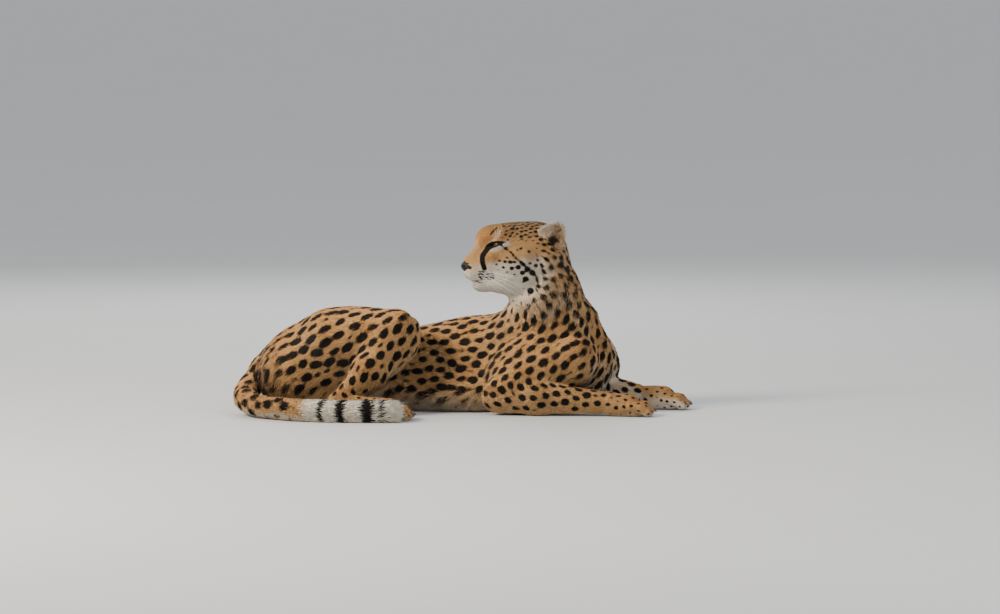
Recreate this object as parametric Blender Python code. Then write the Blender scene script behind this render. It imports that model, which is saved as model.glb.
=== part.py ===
"""A cheetah lying at rest, its head turned back over its right shoulder, life size, as one still figure.

Metres. The body points along +X, its right side faces -Y, +Z is up and the floor is z = 0, with the origin
on the floor under the belly. The body is a signed distance field, blended from tapered capsules and
ellipsoids that stand for bones and muscles with their coat on. It is meshed once, thinned, and parted
into the pieces that a person would name. Ears, eyes and tail are meshes of their own.
"""

import math

import bmesh
import bpy
import numpy as np
from mathutils import Matrix, Vector

GRID = 0.008            # spacing of the body's sampling grid; half of that over the head
BODY_TRIANGLES = 4300   # what the body is thinned to before it is parted
GAP = 0.00032           # left between touching pieces
CM = 0.01               # the head's sizes are in centimetres of its own frame
BOTH = (1, -1)          # the head's left and right sides

COAT = (0.62, 0.38, 0.17)
PALE_COAT = (0.80, 0.70, 0.54)
LEATHER = (0.03, 0.022, 0.02)
IRIS = (0.35, 0.16, 0.03)


# ------------------------------------------------------------------ vectors and distances

def vec(*values):
    return np.array(values, np.float64)


def unit(v):
    return np.asarray(v, np.float64) / np.linalg.norm(v)


def turned(yaw, pitch=0.0, roll=0.0):
    """Columns are forward, left and up after a yaw about Z, a pitch up and a roll, in degrees."""
    y, p, r = (math.radians(angle) for angle in (yaw, pitch, roll))
    forward = vec(math.cos(p) * math.cos(y), math.cos(p) * math.sin(y), math.sin(p))
    left = vec(-math.sin(y), math.cos(y), 0)
    up = np.cross(forward, left)
    rolled_left = math.cos(r) * left + math.sin(r) * up
    return np.stack([forward, rolled_left, np.cross(forward, rolled_left)], axis=1)


def lengths(v):
    return np.sqrt(np.einsum("ij,ij->i", v, v))


def smooth_min(a, b, soft):
    """The union of two distances, filleted over about the width soft."""
    h = np.maximum(soft - np.abs(a - b), 0) / soft
    return np.minimum(a, b) - h * h * soft / 4


def smooth_max(a, b, soft):
    return -smooth_min(-a, -b, soft)


def cone(p, a, b, ra, rb, thin=None, share=1.0):
    """Distance to the hull of two balls at a and b, squeezed to share of its width along thin."""
    a, b = np.asarray(a, np.float32), np.asarray(b, np.float32)
    q, axis = p - a, b - a
    if thin is not None:
        across = unit(vec(*thin) - np.dot(thin, unit(axis)) * unit(axis)).astype(np.float32)
        q = q + np.outer(q @ across, across) * np.float32(1 / share - 1)
    reach = math.sqrt(float(axis @ axis))
    t = np.clip(q @ axis / reach ** 2, 0, 1)
    t = np.clip(t + lengths(q - t[:, None] * axis) * (ra - rb) / reach ** 2, 0, 1)
    return (lengths(q - t[:, None] * axis) - (ra + (rb - ra) * t)) * np.float32((1 + share) / 2)


def lump(p, centre, radii, axes=None):
    """About the distance to an ellipsoid with its radii along axes."""
    q = p - np.asarray(centre, np.float32)
    if axes is not None:
        q = q @ axes.astype(np.float32)
    radii = np.asarray(radii, np.float32)
    k = lengths(q / radii)
    return k * (k - 1) / np.maximum(lengths(q / radii ** 2), 1e-6)


# ------------------------------------------------------------------ the body's masses

MASSES = []             # (part, distance function, softness of its blend), in the order they are blended


def add_cone(part, a, b, ra, rb, soft, thin=None, share=1.0):
    MASSES.append((part, lambda p: cone(p, a, b, ra, rb, thin, share), soft))


def add_lump(part, centre, radii, soft, axes=None):
    MASSES.append((part, lambda p: lump(p, centre, radii, axes), soft))


def trunk():
    """Chest, ribs, loin, croup, the belly that lies on the floor, and the root of the tail."""
    add_lump("trunk", (0.215, 0.010, 0.115), (0.125, 0.082, 0.119), 0.02, turned(-17))
    add_lump("trunk", (0.085, 0.036, 0.104), (0.185, 0.086, 0.106), 0.05, turned(-8))
    add_cone("trunk", (0.02, 0.046, 0.096), (-0.20, 0.04, 0.102), 0.082, 0.087, 0.05, (0, 1, 0), 0.84)
    add_lump("trunk", (0.00, 0.028, 0.047), (0.19, 0.088, 0.056), 0.04, turned(-4))
    add_lump("trunk", (-0.295, 0.03, 0.115), (0.125, 0.084, 0.088), 0.05, turned(2, 8, -14))
    add_cone("trunk", (-0.36, 0.04, 0.122), (-0.425, 0.014, 0.088), 0.046, 0.034, 0.04)


def right_hind_leg():
    """Folded with the knee raised: the thigh's mound, the shank down to the hock, the foot on the floor."""
    knee, hock = (-0.137, -0.085, 0.180), (-0.262, -0.197, 0.036)
    shin_top, calf = (-0.142, -0.100, 0.166), (-0.195, -0.153, 0.098)
    add_lump("thigh_right", (-0.255, -0.052, 0.138), (0.155, 0.064, 0.092), 0.03, turned(-14, 6, -12))
    add_lump("thigh_right", (-0.355, -0.040, 0.085), (0.085, 0.082, 0.082), 0.04, turned(0, 14, -10))
    add_cone("thigh_right", (-0.28, -0.06, 0.158), knee, 0.066, 0.050, 0.035)
    add_cone("shank_right", shin_top, calf, 0.044, 0.036, 0.03)
    add_cone("shank_right", calf, hock, 0.036, 0.021, 0.03)
    add_cone("hindpaw_right", hock, (-0.150, -0.222, 0.020), 0.022, 0.021, 0.012, (0, 1, 0), 0.9)


def left_hind_leg():
    """Folded flat beside the loin."""
    knee, hock = (-0.135, 0.126, 0.098), (-0.315, 0.155, 0.034)
    shin_top, calf = (-0.140, 0.132, 0.078), (-0.235, 0.150, 0.055)
    add_lump("thigh_left", (-0.270, 0.095, 0.100), (0.145, 0.058, 0.086), 0.03, turned(10, 4, 6))
    add_cone("thigh_left", (-0.27, 0.098, 0.115), knee, 0.062, 0.045, 0.035)
    add_cone("shank_left", shin_top, calf, 0.043, 0.035, 0.022)
    add_cone("shank_left", calf, hock, 0.035, 0.021, 0.02)
    add_cone("hindpaw_left", hock, (-0.205, 0.185, 0.020), 0.022, 0.021, 0.012)


def right_foreleg():
    shoulder, elbow, wrist = (0.250, -0.078, 0.118), (0.085, -0.104, 0.042), (0.322, -0.128, 0.029)
    middle = (0.165, -0.113, 0.040)
    add_cone("trunk", (0.120, -0.022, 0.178), (0.235, -0.076, 0.125), 0.040, 0.050, 0.035, (-0.1, 1, 0), 0.75)
    add_cone("trunk", shoulder, (0.115, -0.092, 0.068), 0.050, 0.042, 0.035)
    add_lump("trunk", (0.140, -0.072, 0.100), (0.085, 0.038, 0.060), 0.03, turned(-12, 25))
    add_cone("foreleg_right", elbow, middle, 0.037, 0.037, 0.022)
    add_cone("foreleg_right", middle, wrist, 0.037, 0.0245, 0.02)


def left_foreleg():
    shoulder, elbow, wrist = (0.290, 0.076, 0.120), (0.155, 0.108, 0.052), (0.385, 0.050, 0.033)
    middle = (0.255, 0.085, 0.058)
    add_cone("trunk", (0.145, 0.066, 0.178), (0.270, 0.076, 0.128), 0.042, 0.053, 0.035, (0.3, 1, 0), 0.75)
    add_cone("trunk", shoulder, (0.175, 0.100, 0.070), 0.053, 0.044, 0.035)
    add_lump("trunk", (0.190, 0.088, 0.102), (0.085, 0.038, 0.062), 0.03, turned(5, 25))
    add_cone("trunk", (0.318, 0.070, 0.090), (0.300, 0.080, 0.060), 0.030, 0.030, 0.04)
    add_cone("foreleg_left", elbow, middle, 0.042, 0.041, 0.022)
    add_cone("foreleg_left", middle, wrist, 0.041, 0.0250, 0.02)


def neck():
    top, middle, low = (0.184, -0.030, 0.325), (0.192, -0.019, 0.258), (0.218, -0.004, 0.195)
    add_cone("neck", top, middle, 0.052, 0.059, 0.05)
    add_cone("neck", middle, low, 0.058, 0.088, 0.07)
    add_cone("neck", (0.200, -0.015, 0.215), (0.135, 0.020, 0.165), 0.056, 0.045, 0.06)


HEAD_AT = vec(0.165, -0.030, 0.354)     # between the ears, and the way the face looks
HEAD_AXES = turned(190, 0, -3)


def head_point(x, y, z):
    """A point of the head's frame: forward, left and up, in centimetres."""
    return HEAD_AT + HEAD_AXES @ (vec(x, y, z) * CM)


def head_cone(a, b, ra, rb, soft, sides=(1,)):
    for s in sides:
        ends = head_point(a[0], s * a[1], a[2]), head_point(b[0], s * b[1], b[2])
        add_cone("head", *ends, ra * CM, rb * CM, soft * CM)


def head_lump(centre, radii, soft, sides=(1,), yaw=0.0, pitch=0.0):
    for s in sides:
        at = head_point(centre[0], s * centre[1], centre[2])
        add_lump("head", at, vec(*radii) * CM, soft * CM, HEAD_AXES @ turned(s * yaw, pitch))


def head():
    # skull, brow and the bridge of the nose
    head_lump((0.4, 0, 0.9), (7.0, 5.5, 5.7), 3.0)
    head_lump((6.2, 0, 2.0), (5.4, 4.5, 4.3), 2.5)
    head_lump((10.0, 0, 2.65), (3.25, 2.8, 3.0), 1.8)
    head_lump((9.0, 2.3, 3.2), (2.4, 1.7, 1.2), 1.8, BOTH, yaw=-25, pitch=10)
    head_cone((14.5, 0, -2.05), (10.6, 0, 1.5), 1.25, 2.0, 1.6)
    # cheekbones and cheeks
    head_cone((9.8, 3.2, -0.7), (3.0, 4.7, -1.0), 1.35, 2.2, 2.5, BOTH)
    head_cone((11.2, 1.5, -2.6), (6.0, 3.3, -3.6), 2.0, 2.7, 2.5, BOTH)
    head_lump((3.6, 3.6, -3.9), (4.9, 2.6, 3.7), 2.4, BOTH)
    # muzzle, whisker pads and nose
    head_cone((13.4, 0, -3.8), (9.0, 0, -2.8), 2.2, 3.3, 1.8)
    head_lump((12.9, 1.35, -4.6), (2.5, 1.6, 1.9), 1.3, BOTH)
    head_lump((15.0, 0, -3.2), (1.1, 1.25, 1.2), 0.6)
    # lower jaw and throat
    head_cone((12.3, 0, -6.8), (8.5, 0, -6.5), 1.5, 2.25, 1.0)
    head_cone((11.3, 0.9, -6.6), (2.5, 3.3, -5.2), 1.7, 2.6, 1.8, BOTH)
    head_cone((5.0, 0, -6.4), (-1.0, 0, -7.0), 3.2, 5.0, 3.0)


# ------------------------------------------------------------------ eyes, ears, paws and tail

EYE = (8.5, 2.85, 2.0)          # left eyeball, in the head's frame
EYE_RADIUS = 1.5
GAZE = unit((0.80, 0.60, -0.02))
EYE_TILT = math.radians(18)     # the outer corner stands higher
LID = 0.28                      # how far the lids stand off the eyeball
OPENING = (0.6, 1.5, 0.72)      # radii of the hollow that bares it: along the gaze, along the lids and across


def eye_frame(side):
    """Columns: out along the gaze, towards the outer corner and up across the opening."""
    gaze = GAZE * vec(1, side, 1)
    outward = unit(np.cross(vec(0, 0, 1), gaze)) * side
    upward = vec(0, 0, 1) - gaze[2] * gaze
    outer = math.cos(EYE_TILT) * outward + math.sin(EYE_TILT) * unit(upward)
    return np.stack([gaze, outer, math.cos(EYE_TILT) * unit(upward) - math.sin(EYE_TILT) * outward], axis=1)


def with_face(p, distance):
    """Adds the lids, and hollows them down to just under the eyeballs' fronts."""
    near = lengths(p - head_point(9, 0, -2).astype(np.float32)) < 0.14
    q = (p[near] - HEAD_AT.astype(np.float32)) @ HEAD_AXES.astype(np.float32) / np.float32(CM)
    d = distance[near] / np.float32(CM)
    for side in BOTH:
        w = (q - (vec(*EYE) * vec(1, side, 1)).astype(np.float32)) @ eye_frame(side).astype(np.float32)
        ball = lengths(w) - EYE_RADIUS
        d = smooth_min(d, ball - LID, 1.0)
        d = smooth_max(d, -lump(w, (EYE_RADIUS - 0.15 + OPENING[0], 0, 0), OPENING), 0.25)
    distance = distance.copy()
    distance[near] = d * np.float32(CM)
    return distance


EAR_ROOT = {1: (-2.9, 4.35, 1.8), -1: (-3.3, 4.6, 0.9)}      # left and right, in the head's frame
EAR_UP = {1: (-0.16, 0.50, 0.85), -1: (-0.28, 0.70, 0.66)}
EAR_OPEN = (0.55, 0.82, -0.1)   # the way the cup faces
EAR_HALF = (3.2, 2.8)           # half width and half height


def ear_points(side, r, angle, front):
    """The ear's front or back at polar (r, angle) of its blade, a disc bent to a cup with a round rim."""
    up = unit(EAR_UP[side]) * vec(1, side, 1)
    opened = vec(*EAR_OPEN) * vec(1, side, 1)
    face = unit(opened - np.dot(opened, up) * up)
    across = np.cross(up, face) * side
    x, y = r * np.cos(angle), r * np.sin(angle)
    cup = 1.35 * x ** 2 - 0.55 * np.clip(y, 0, 1) ** 2 * (1 - 0.4 * x ** 2) + 0.25 * np.clip(-y, 0, 1)
    thickness = 0.28 * np.sqrt(np.clip(1 - r ** 2, 0, 1)) + 0.05 * (1 - r)
    depth = cup + (thickness if front else -thickness * (1.9 - 0.9 * r))
    wide = EAR_HALF[0] * (1 - 0.16 * np.maximum(y, 0)) * x
    high = EAR_HALF[1] * (y + 0.75)
    blade = np.stack([depth, wide, high], -1) @ np.stack([face, across, up])
    return HEAD_AT + (vec(*EAR_ROOT[side]) * vec(1, side, 1) + blade) * CM @ HEAD_AXES.T


def ear_mesh(side, rings=5, spokes=16):
    """A closed shell: rings of the front out to the rim, and rings of the back inside it."""
    r = np.sin(np.linspace(0, math.pi / 2, rings + 1))[1:]
    radius, angle = np.meshgrid(r, np.arange(spokes) * 2 * math.pi / spokes, indexing="ij")
    front = ear_points(side, radius, angle, True).reshape(-1, 3)
    back = ear_points(side, radius[:-1], angle[:-1], False).reshape(-1, 3)
    middles = [ear_points(side, np.zeros(1), np.zeros(1), face) for face in (True, False)]
    points = np.vstack([front, back, *middles])
    rim = (rings - 1) * spokes
    loops = [[i * spokes + j for j in range(spokes)] for i in range(rings)]
    backs = [[len(front) + i * spokes + j for j in range(spokes)] for i in range(rings - 1)]
    backs.append([rim + j for j in range(spokes)])
    faces = bridged(loops) + [face[::-1] for face in bridged(backs)]
    for j in range(spokes):
        k = (j + 1) % spokes
        faces += [(len(points) - 2, loops[0][j], loops[0][k]), (len(points) - 1, backs[0][k], backs[0][j])]
    return points, faces if side > 0 else [face[::-1] for face in faces]


def bridged(loops):
    """Quads between each ring of vertex numbers and the next."""
    return [
        (a[j], b[j], b[(j + 1) % len(a)], a[(j + 1) % len(a)])
        for a, b in zip(loops[:-1], loops[1:])
        for j in range(len(a))
    ]


PAWS = {    # a point on the floor under the middle of the paw, its yaw in degrees and its size
    "forepaw_right": ((0.388, -0.133, 0.0), -3, 1.0),
    "forepaw_left": ((0.470, 0.040, 0.0), -6, 1.05),
    "hindpaw_right": ((-0.133, -0.228, 0.0), -8, 0.95),
    "hindpaw_left": ((-0.172, 0.192, 0.0), 12, 0.95),
}


def paw(p, at, yaw, size):
    """A flattened palm and four toes, the middle two ahead of the outer ones."""
    q = (p - np.asarray(at, np.float32)) @ turned(yaw).astype(np.float32) / np.float32(size)
    d = smooth_min(
        lump(q, (-0.030, 0, 0.022), (0.036, 0.028, 0.021)),
        cone(q, (-0.055, 0, 0.026), (-0.02, 0, 0.026), 0.024, 0.022),
        0.015,
    )
    for place in (-1.5, -0.5, 0.5, 1.5):
        ahead = 0.020 - 0.0065 * (abs(place) - 0.5)
        y = place * 0.0165
        knuckle, bend = (ahead - 0.030, y * 0.86, 0.024), (ahead - 0.006, y, 0.021)
        tip = (ahead + 0.006, y * 1.08 + 0.001 * place, 0.0125)
        toe = smooth_min(cone(q, knuckle, bend, 0.0115, 0.0118), cone(q, bend, tip, 0.0118, 0.0102), 0.005)
        d = smooth_min(d, toe, 0.006)
    webs = lump(q, (-0.004, 0, 0.010), (0.026, 0.027, 0.012))
    return smooth_min(d, webs, 0.006) * np.float32(size)


TAIL_ROUTE = [  # from the croup round the right side of the rump and forward along the floor
    (-0.375, 0.040, 0.120), (-0.432, 0.010, 0.084), (-0.468, -0.065, 0.042), (-0.445, -0.165, 0.029),
    (-0.360, -0.245, 0.0245), (-0.255, -0.281, 0.0235), (-0.158, -0.286, 0.0235),
]


def spline(points, count):
    """A smooth (Catmull-Rom) curve through the points."""
    p = np.array(points)
    p = np.vstack([2 * p[0] - p[1], p, 2 * p[-1] - p[-2]])
    t = np.linspace(0, len(points) - 1 - 1e-9, count)
    i = t.astype(int)
    u = (t - i)[:, None]
    a, b, c, d = p[i], p[i + 1], p[i + 2], p[i + 3]
    bend, twist = 2 * a - 5 * b + 4 * c - d, 3 * b - a - 3 * c + d
    return 0.5 * (2 * b + (c - a) * u + bend * u ** 2 + twist * u ** 3)


def tail_radius(s):
    """Thick at the root, even along its length and a little fuller at the tip; s runs from 0 to 1."""
    return 0.0235 + 0.0125 * (1 - s) ** 3 + 0.002 * np.sin(math.pi * np.clip((s - 0.6) / 0.4, 0, 1))


def tail_length(start, end, rings=11, sides=11):
    """A closed tube along the tail's route from share start to share end, flat where it lies on the floor."""
    line = spline(TAIL_ROUTE, 241)
    way = np.gradient(line, axis=0)
    steps = np.linspace(0, 1, len(line))
    s = np.linspace(start, end, rings)
    middle, along = (np.stack([np.interp(s, steps, v[:, k]) for k in range(3)], 1) for v in (line, way))
    along /= np.linalg.norm(along, axis=1, keepdims=True)
    radius = tail_radius(s)
    if end == 1:
        dome = np.linspace(0.3, 1, 4)[1:]
        ahead = radius[-1] * np.sin(dome * math.pi / 2) * 0.9
        middle = np.vstack([middle, middle[-1] + np.outer(ahead, along[-1])])
        along = np.vstack([along, np.repeat(along[-1:], 3, axis=0)])
        radius = np.concatenate([radius, radius[-1] * np.sqrt(np.clip(1.04 - dome ** 4, 0, 1))])
    across = np.cross(vec(0, 0, 1), along)
    across /= np.linalg.norm(across, axis=1, keepdims=True)
    above = np.cross(along, across)
    turn = (np.arange(sides) + 0.5) * 2 * math.pi / sides
    points = middle[:, None] + radius[:, None, None] * (
        np.cos(turn)[None, :, None] * across[:, None] + np.sin(turn)[None, :, None] * above[:, None]
    )
    points = points.reshape(-1, 3)
    points[:, 2] = np.maximum(points[:, 2], 0)
    loops = [[i * sides + j for j in range(sides)] for i in range(len(middle))]
    return points, [face[::-1] for face in bridged(loops)] + [tuple(loops[0][::-1]), tuple(loops[-1])]


# ------------------------------------------------------------------ the field and its mesh

def blended(p, masses):
    d = masses[0][1](p)
    for _, distance, soft in masses[1:]:
        d = smooth_min(d, distance(p), np.float32(soft))
    return d


def body(p):
    """Distance to the whole body but its ears, eyes and tail, cut flat where it lies on the floor."""
    d = blended(p, MASSES)
    for at, yaw, size in PAWS.values():
        d = smooth_min(d, paw(p, at, yaw, size), np.float32(0.010))
    return smooth_max(with_face(p, d), -p[:, 2], np.float32(0.004))


def sampled(field, axes, block=8):
    """The field on a grid, worked out only in blocks near the surface; elsewhere only its sign counts."""
    blocks = [-(-len(a) // block) for a in axes]
    low = [np.array([a[i * block] for i in range(n)]) for a, n in zip(axes, blocks)]
    high = [np.array([a[min((i + 1) * block, len(a) - 1)] for i in range(n)]) for a, n in zip(axes, blocks)]
    centres = np.stack(np.meshgrid(*[(l + h) / 2 for l, h in zip(low, high)], indexing="ij"), -1)
    halves = np.stack(np.meshgrid(*[(h - l) / 2 for l, h in zip(low, high)], indexing="ij"), -1)
    rough = field(centres.reshape(-1, 3).astype(np.float32)).reshape(blocks)
    near = np.abs(rough) < np.linalg.norm(halves, axis=-1) * 1.7 + 0.004
    cut = tuple(slice(0, len(a)) for a in axes)
    values, mask = (np.kron(part, np.ones((block,) * 3, part.dtype))[cut] for part in (rough, near))
    where = np.nonzero(mask)
    points = np.stack([a[w] for a, w in zip(axes, where)], -1).astype(np.float32)
    chunks = np.array_split(points, len(points) // 300000 + 1)
    values[where] = np.concatenate([field(chunk) for chunk in chunks])
    return values


def surface_net(values, axes):
    """A vertex in each cell that the surface passes through, and a quad round each grid edge it crosses."""
    inside = values < 0
    cells_shape = [n - 1 for n in values.shape]
    corners = [(i, j, k) for i in (0, 1) for j in (0, 1) for k in (0, 1)]
    at_corners = [inside[tuple(slice(o, o + n) for o, n in zip(c, cells_shape))] for c in corners]
    count = np.sum(at_corners, axis=0)
    cells = (count > 0) & (count < 8)
    number = np.full(cells.shape, -1, np.int64)
    number[cells] = np.arange(cells.sum())
    where = np.nonzero(cells)
    total, crossings = np.zeros((len(where[0]), 3)), np.zeros(len(where[0]))
    for a in corners:
        for axis in range(3):
            if a[axis]:
                continue
            b = tuple(c + (k == axis) for k, c in enumerate(a))
            ends = [tuple(w + o for w, o in zip(where, c)) for c in (a, b)]
            va, vb = (values[e] for e in ends)
            crossed = (va < 0) != (vb < 0)
            share = np.where(crossed, va / np.where(crossed, va - vb, 1), 0)
            pa, pb = (np.stack([x[i] for x, i in zip(axes, e)], -1) for e in ends)
            total += np.where(crossed[:, None], pa + (pb - pa) * share[:, None], 0)
            crossings += crossed
    quads = []
    for axis in range(3):
        o1, o2 = (axis + 1) % 3, (axis + 2) % 3
        before, after = [slice(None)] * 3, [slice(None)] * 3
        before[axis], after[axis] = slice(0, -1), slice(1, None)
        first = inside[tuple(before)]
        edge = np.nonzero(first != inside[tuple(after)])
        kept = (edge[o1] > 0) & (edge[o2] > 0) & (edge[o1] < cells_shape[o1]) & (edge[o2] < cells_shape[o2])
        edge = [e[kept] for e in edge]
        ring = []
        for d1, d2 in ((-1, -1), (0, -1), (0, 0), (-1, 0)):
            cell = list(edge)
            cell[o1], cell[o2] = cell[o1] + d1, cell[o2] + d2
            ring.append(number[tuple(cell)])
        quad = np.stack(ring, -1)
        outward = first[tuple(edge)]
        quad[~outward] = quad[~outward][:, ::-1]
        quads.append(quad)
    return total / crossings[:, None], np.concatenate(quads)


def projected(field, points, step=0.0004):
    """Each point moved along the field's slope onto its surface."""
    for _ in range(2):
        slope = np.stack([
            (field((points + e).astype(np.float32)) - field((points - e).astype(np.float32))) / (2 * step)
            for e in np.eye(3) * step
        ], axis=1).astype(np.float64)
        d = field(points.astype(np.float32)).astype(np.float64)
        share = d / np.maximum((slope ** 2).sum(axis=1), 0.15)
        points = points - np.clip(share, -0.004, 0.004)[:, None] * slope
    return points


def grid_line(low, high, step, fine=None):
    """Grid places from low to high, at half the step inside the stretch fine."""
    places = [low]
    while places[-1] < high:
        inside = fine is not None and fine[0] <= places[-1] < fine[1]
        places.append(places[-1] + (step / 2 if inside else step))
    return np.array(places)


# ------------------------------------------------------------------ Blender objects

def new_object(name, points, faces):
    mesh = bpy.data.meshes.new(name)
    mesh.from_pydata(np.asarray(points).tolist(), [], [tuple(int(i) for i in face) for face in faces])
    mesh.update()
    obj = bpy.data.objects.new(name, mesh)
    bpy.context.collection.objects.link(obj)
    return obj


def apply_modifiers(obj):
    graph = bpy.context.evaluated_depsgraph_get()
    mesh = bpy.data.meshes.new_from_object(obj.evaluated_get(graph))
    obj.modifiers.clear()
    obj.data = mesh


def cut(obj, other, operation):
    modifier = obj.modifiers.new(operation.lower(), "BOOLEAN")
    modifier.operation, modifier.object, modifier.solver = operation, other, "EXACT"
    apply_modifiers(obj)


def thin_out(obj, triangles=None):
    """Down to so many triangles or, if none are named, by joining faces that lie in one plane."""
    obj.data.calc_loop_triangles()
    modifier = obj.modifiers.new("thin", "DECIMATE")
    if triangles:
        modifier.ratio = min(1.0, triangles / len(obj.data.loop_triangles))
    else:
        modifier.decimate_type, modifier.angle_limit = "DISSOLVE", math.radians(0.5)
    apply_modifiers(obj)


def largest_body(obj):
    """Drops the crumbs that a cut can leave."""
    bm = bmesh.new()
    bm.from_mesh(obj.data)
    left, bodies = set(bm.verts), []
    while left:
        front = [left.pop()]
        group = set(front)
        while front:
            near = {e.other_vert(v) for v in front for e in v.link_edges} - group
            group |= near
            front = list(near)
        left -= group
        bodies.append(group)
    bodies.sort(key=len)
    bmesh.ops.delete(bm, geom=[v for group in bodies[:-1] for v in group], context="VERTS")
    bm.to_mesh(obj.data)
    bm.free()


def grown(obj, by):
    """A hidden copy of obj with its surface moved out by this much."""
    copy = obj.copy()
    copy.data = obj.data.copy()
    copy.name = obj.name + "_grown"
    bpy.context.collection.objects.link(copy)
    points = np.array([v.co + v.normal * by for v in obj.data.vertices], np.float32)
    copy.data.vertices.foreach_set("co", points.ravel())
    hide(copy)
    return copy


def hide(obj):
    obj.hide_render = True
    obj.display_type = "WIRE"


def remove(*objects):
    for obj in objects:
        bpy.data.objects.remove(obj, do_unlink=True)


def part_off(whole, name, region, wider):
    """Takes what lies in the region out of whole as its own object; wider also holds the gap round it."""
    piece = whole.copy()
    piece.data = whole.data.copy()
    piece.name = name
    bpy.context.collection.objects.link(piece)
    cut(piece, region, "INTERSECT")
    cut(whole, wider, "DIFFERENCE")
    remove(region, wider)
    for obj in (piece, whole):
        largest_body(obj)
    return piece


# ------------------------------------------------------------------ the regions that part the body

def region(inside, low, high, triangles=None, step=0.014, out=0.0):
    """A hidden solid where inside(p) is negative, in the box from low to high, its surface moved by out."""
    low, high = vec(*low), vec(*high)

    def boxed(p):
        away = np.abs(p - ((low + high) / 2).astype(np.float32)) - ((high - low) / 2).astype(np.float32)
        return np.maximum(inside(p), away.max(axis=1)) - np.float32(out)

    axes = [grid_line(a - 1.5 * step, b + 1.5 * step, step) for a, b in zip(low, high)]
    points, quads = surface_net(sampled(boxed, axes, block=4), axes)
    obj = new_object("region", projected(boxed, points), quads)
    thin_out(obj, triangles)
    hide(obj)
    return obj


def beyond(point, normal):
    """Negative on the side of the plane that the normal points to."""
    return lambda p: -(p - np.asarray(point, np.float32)) @ unit(normal).astype(np.float32)


def nearer(parts):
    """Negative where these parts' masses are nearer than the rest of the body."""
    mine = [m for m in MASSES if m[0] in parts]
    others = [m for m in MASSES if m[0] not in parts]

    def inside(p):
        own = blended(p, mine)
        for name in parts:
            if name in PAWS:
                own = np.minimum(own, paw(p, *PAWS[name]))
        return (own - blended(p, others)) / 2

    return inside


def part_the_body(whole):
    """Every piece of the body by name; what is left of whole is the trunk."""
    pieces = {}

    def take(name, inside, low, high, source=whole):
        solids = region(inside, low, high), region(inside, low, high, out=GAP)
        pieces[name] = part_off(source, name, *solids)
        return pieces[name]

    def take_limb(name, parts, low, high, source=whole):
        solid = region(nearer(parts), low, high, triangles=90)
        pieces[name] = part_off(source, name, solid, grown(solid, GAP))
        return pieces[name]

    nape = HEAD_AXES @ vec(0.65, 0, 0.76)
    take("head", beyond(head_point(6.5, 0, -9.9), nape), (-0.02, -0.15, 0.232), (0.29, 0.10, 0.45))
    take("neck", beyond((0.20, 0, 0.222), (0.15, 0, 0.99)), (0.06, -0.17, 0.18), (0.35, 0.15, 0.42))

    leg = ("foreleg_right", "forepaw_right")
    foreleg = take_limb(leg[0], leg, (0.02, -0.20, -0.02), (0.46, -0.02, 0.12))
    wrist = beyond((0.328, -0.128, 0.03), (1, 0, 0))
    take(leg[1], wrist, (0.29, -0.20, -0.02), (0.46, -0.04, 0.12), foreleg)
    leg = ("foreleg_left", "forepaw_left")
    foreleg = take_limb(leg[0], leg, (0.09, 0.00, -0.02), (0.54, 0.18, 0.13))
    wrist = beyond((0.402, 0.05, 0.03), (1, -0.1, 0))
    take(leg[1], wrist, (0.36, -0.03, -0.02), (0.54, 0.12, 0.12), foreleg)

    leg = ("thigh_right", "shank_right", "hindpaw_right")
    thigh = take_limb(leg[0], leg, (-0.50, -0.29, -0.02), (-0.05, 0.09, 0.26))
    shank = take_limb(leg[1], leg[1:], (-0.33, -0.29, -0.02), (-0.06, -0.05, 0.24), thigh)
    sole = beyond((-0.262, -0.2, 0.042), (0.29, 0, -0.956))
    take(leg[2], sole, (-0.33, -0.30, -0.02), (-0.05, -0.12, 0.14), shank)
    leg = ("thigh_left", "shank_left", "hindpaw_left")
    thigh = take_limb(leg[0], leg, (-0.46, 0.00, -0.02), (-0.05, 0.26, 0.22))
    shank = take_limb(leg[1], leg[1:], (-0.38, 0.05, -0.02), (-0.06, 0.26, 0.16), thigh)
    take_limb(leg[2], leg[2:], (-0.37, 0.06, -0.02), (-0.08, 0.26, 0.12), shank)

    tip = head_point(15.9, 0, -3.0)

    def nose(p):
        return lump(p, tip, vec(1.5, 1.7, 1.25) * CM, HEAD_AXES)

    solid = region(nose, tip - 0.03, tip + 0.03, 160, step=0.003)
    pieces["nose"] = part_off(pieces["head"], "nose", solid, grown(solid, GAP))
    whole.name = "trunk"
    pieces["trunk"] = whole
    return pieces


def eyes(head_piece):
    """Each eyeball, in its socket."""
    pieces = {}
    for side, name in ((1, "eye_left"), (-1, "eye_right")):
        bm = bmesh.new()
        bmesh.ops.create_uvsphere(bm, u_segments=12, v_segments=8, radius=EYE_RADIUS * CM)
        gaze = Vector(HEAD_AXES @ eye_frame(side)[:, 0]).to_track_quat("Z", "Y")
        at = Matrix.Translation(head_point(EYE[0], side * EYE[1], EYE[2]))
        bm.transform(at @ gaze.to_matrix().to_4x4())
        mesh = bpy.data.meshes.new(name)
        bm.to_mesh(mesh)
        bm.free()
        pieces[name] = bpy.data.objects.new(name, mesh)
        bpy.context.collection.objects.link(pieces[name])
        socket = grown(pieces[name], GAP)
        cut(head_piece, socket, "DIFFERENCE")
        remove(socket)
    largest_body(head_piece)
    return pieces


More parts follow.
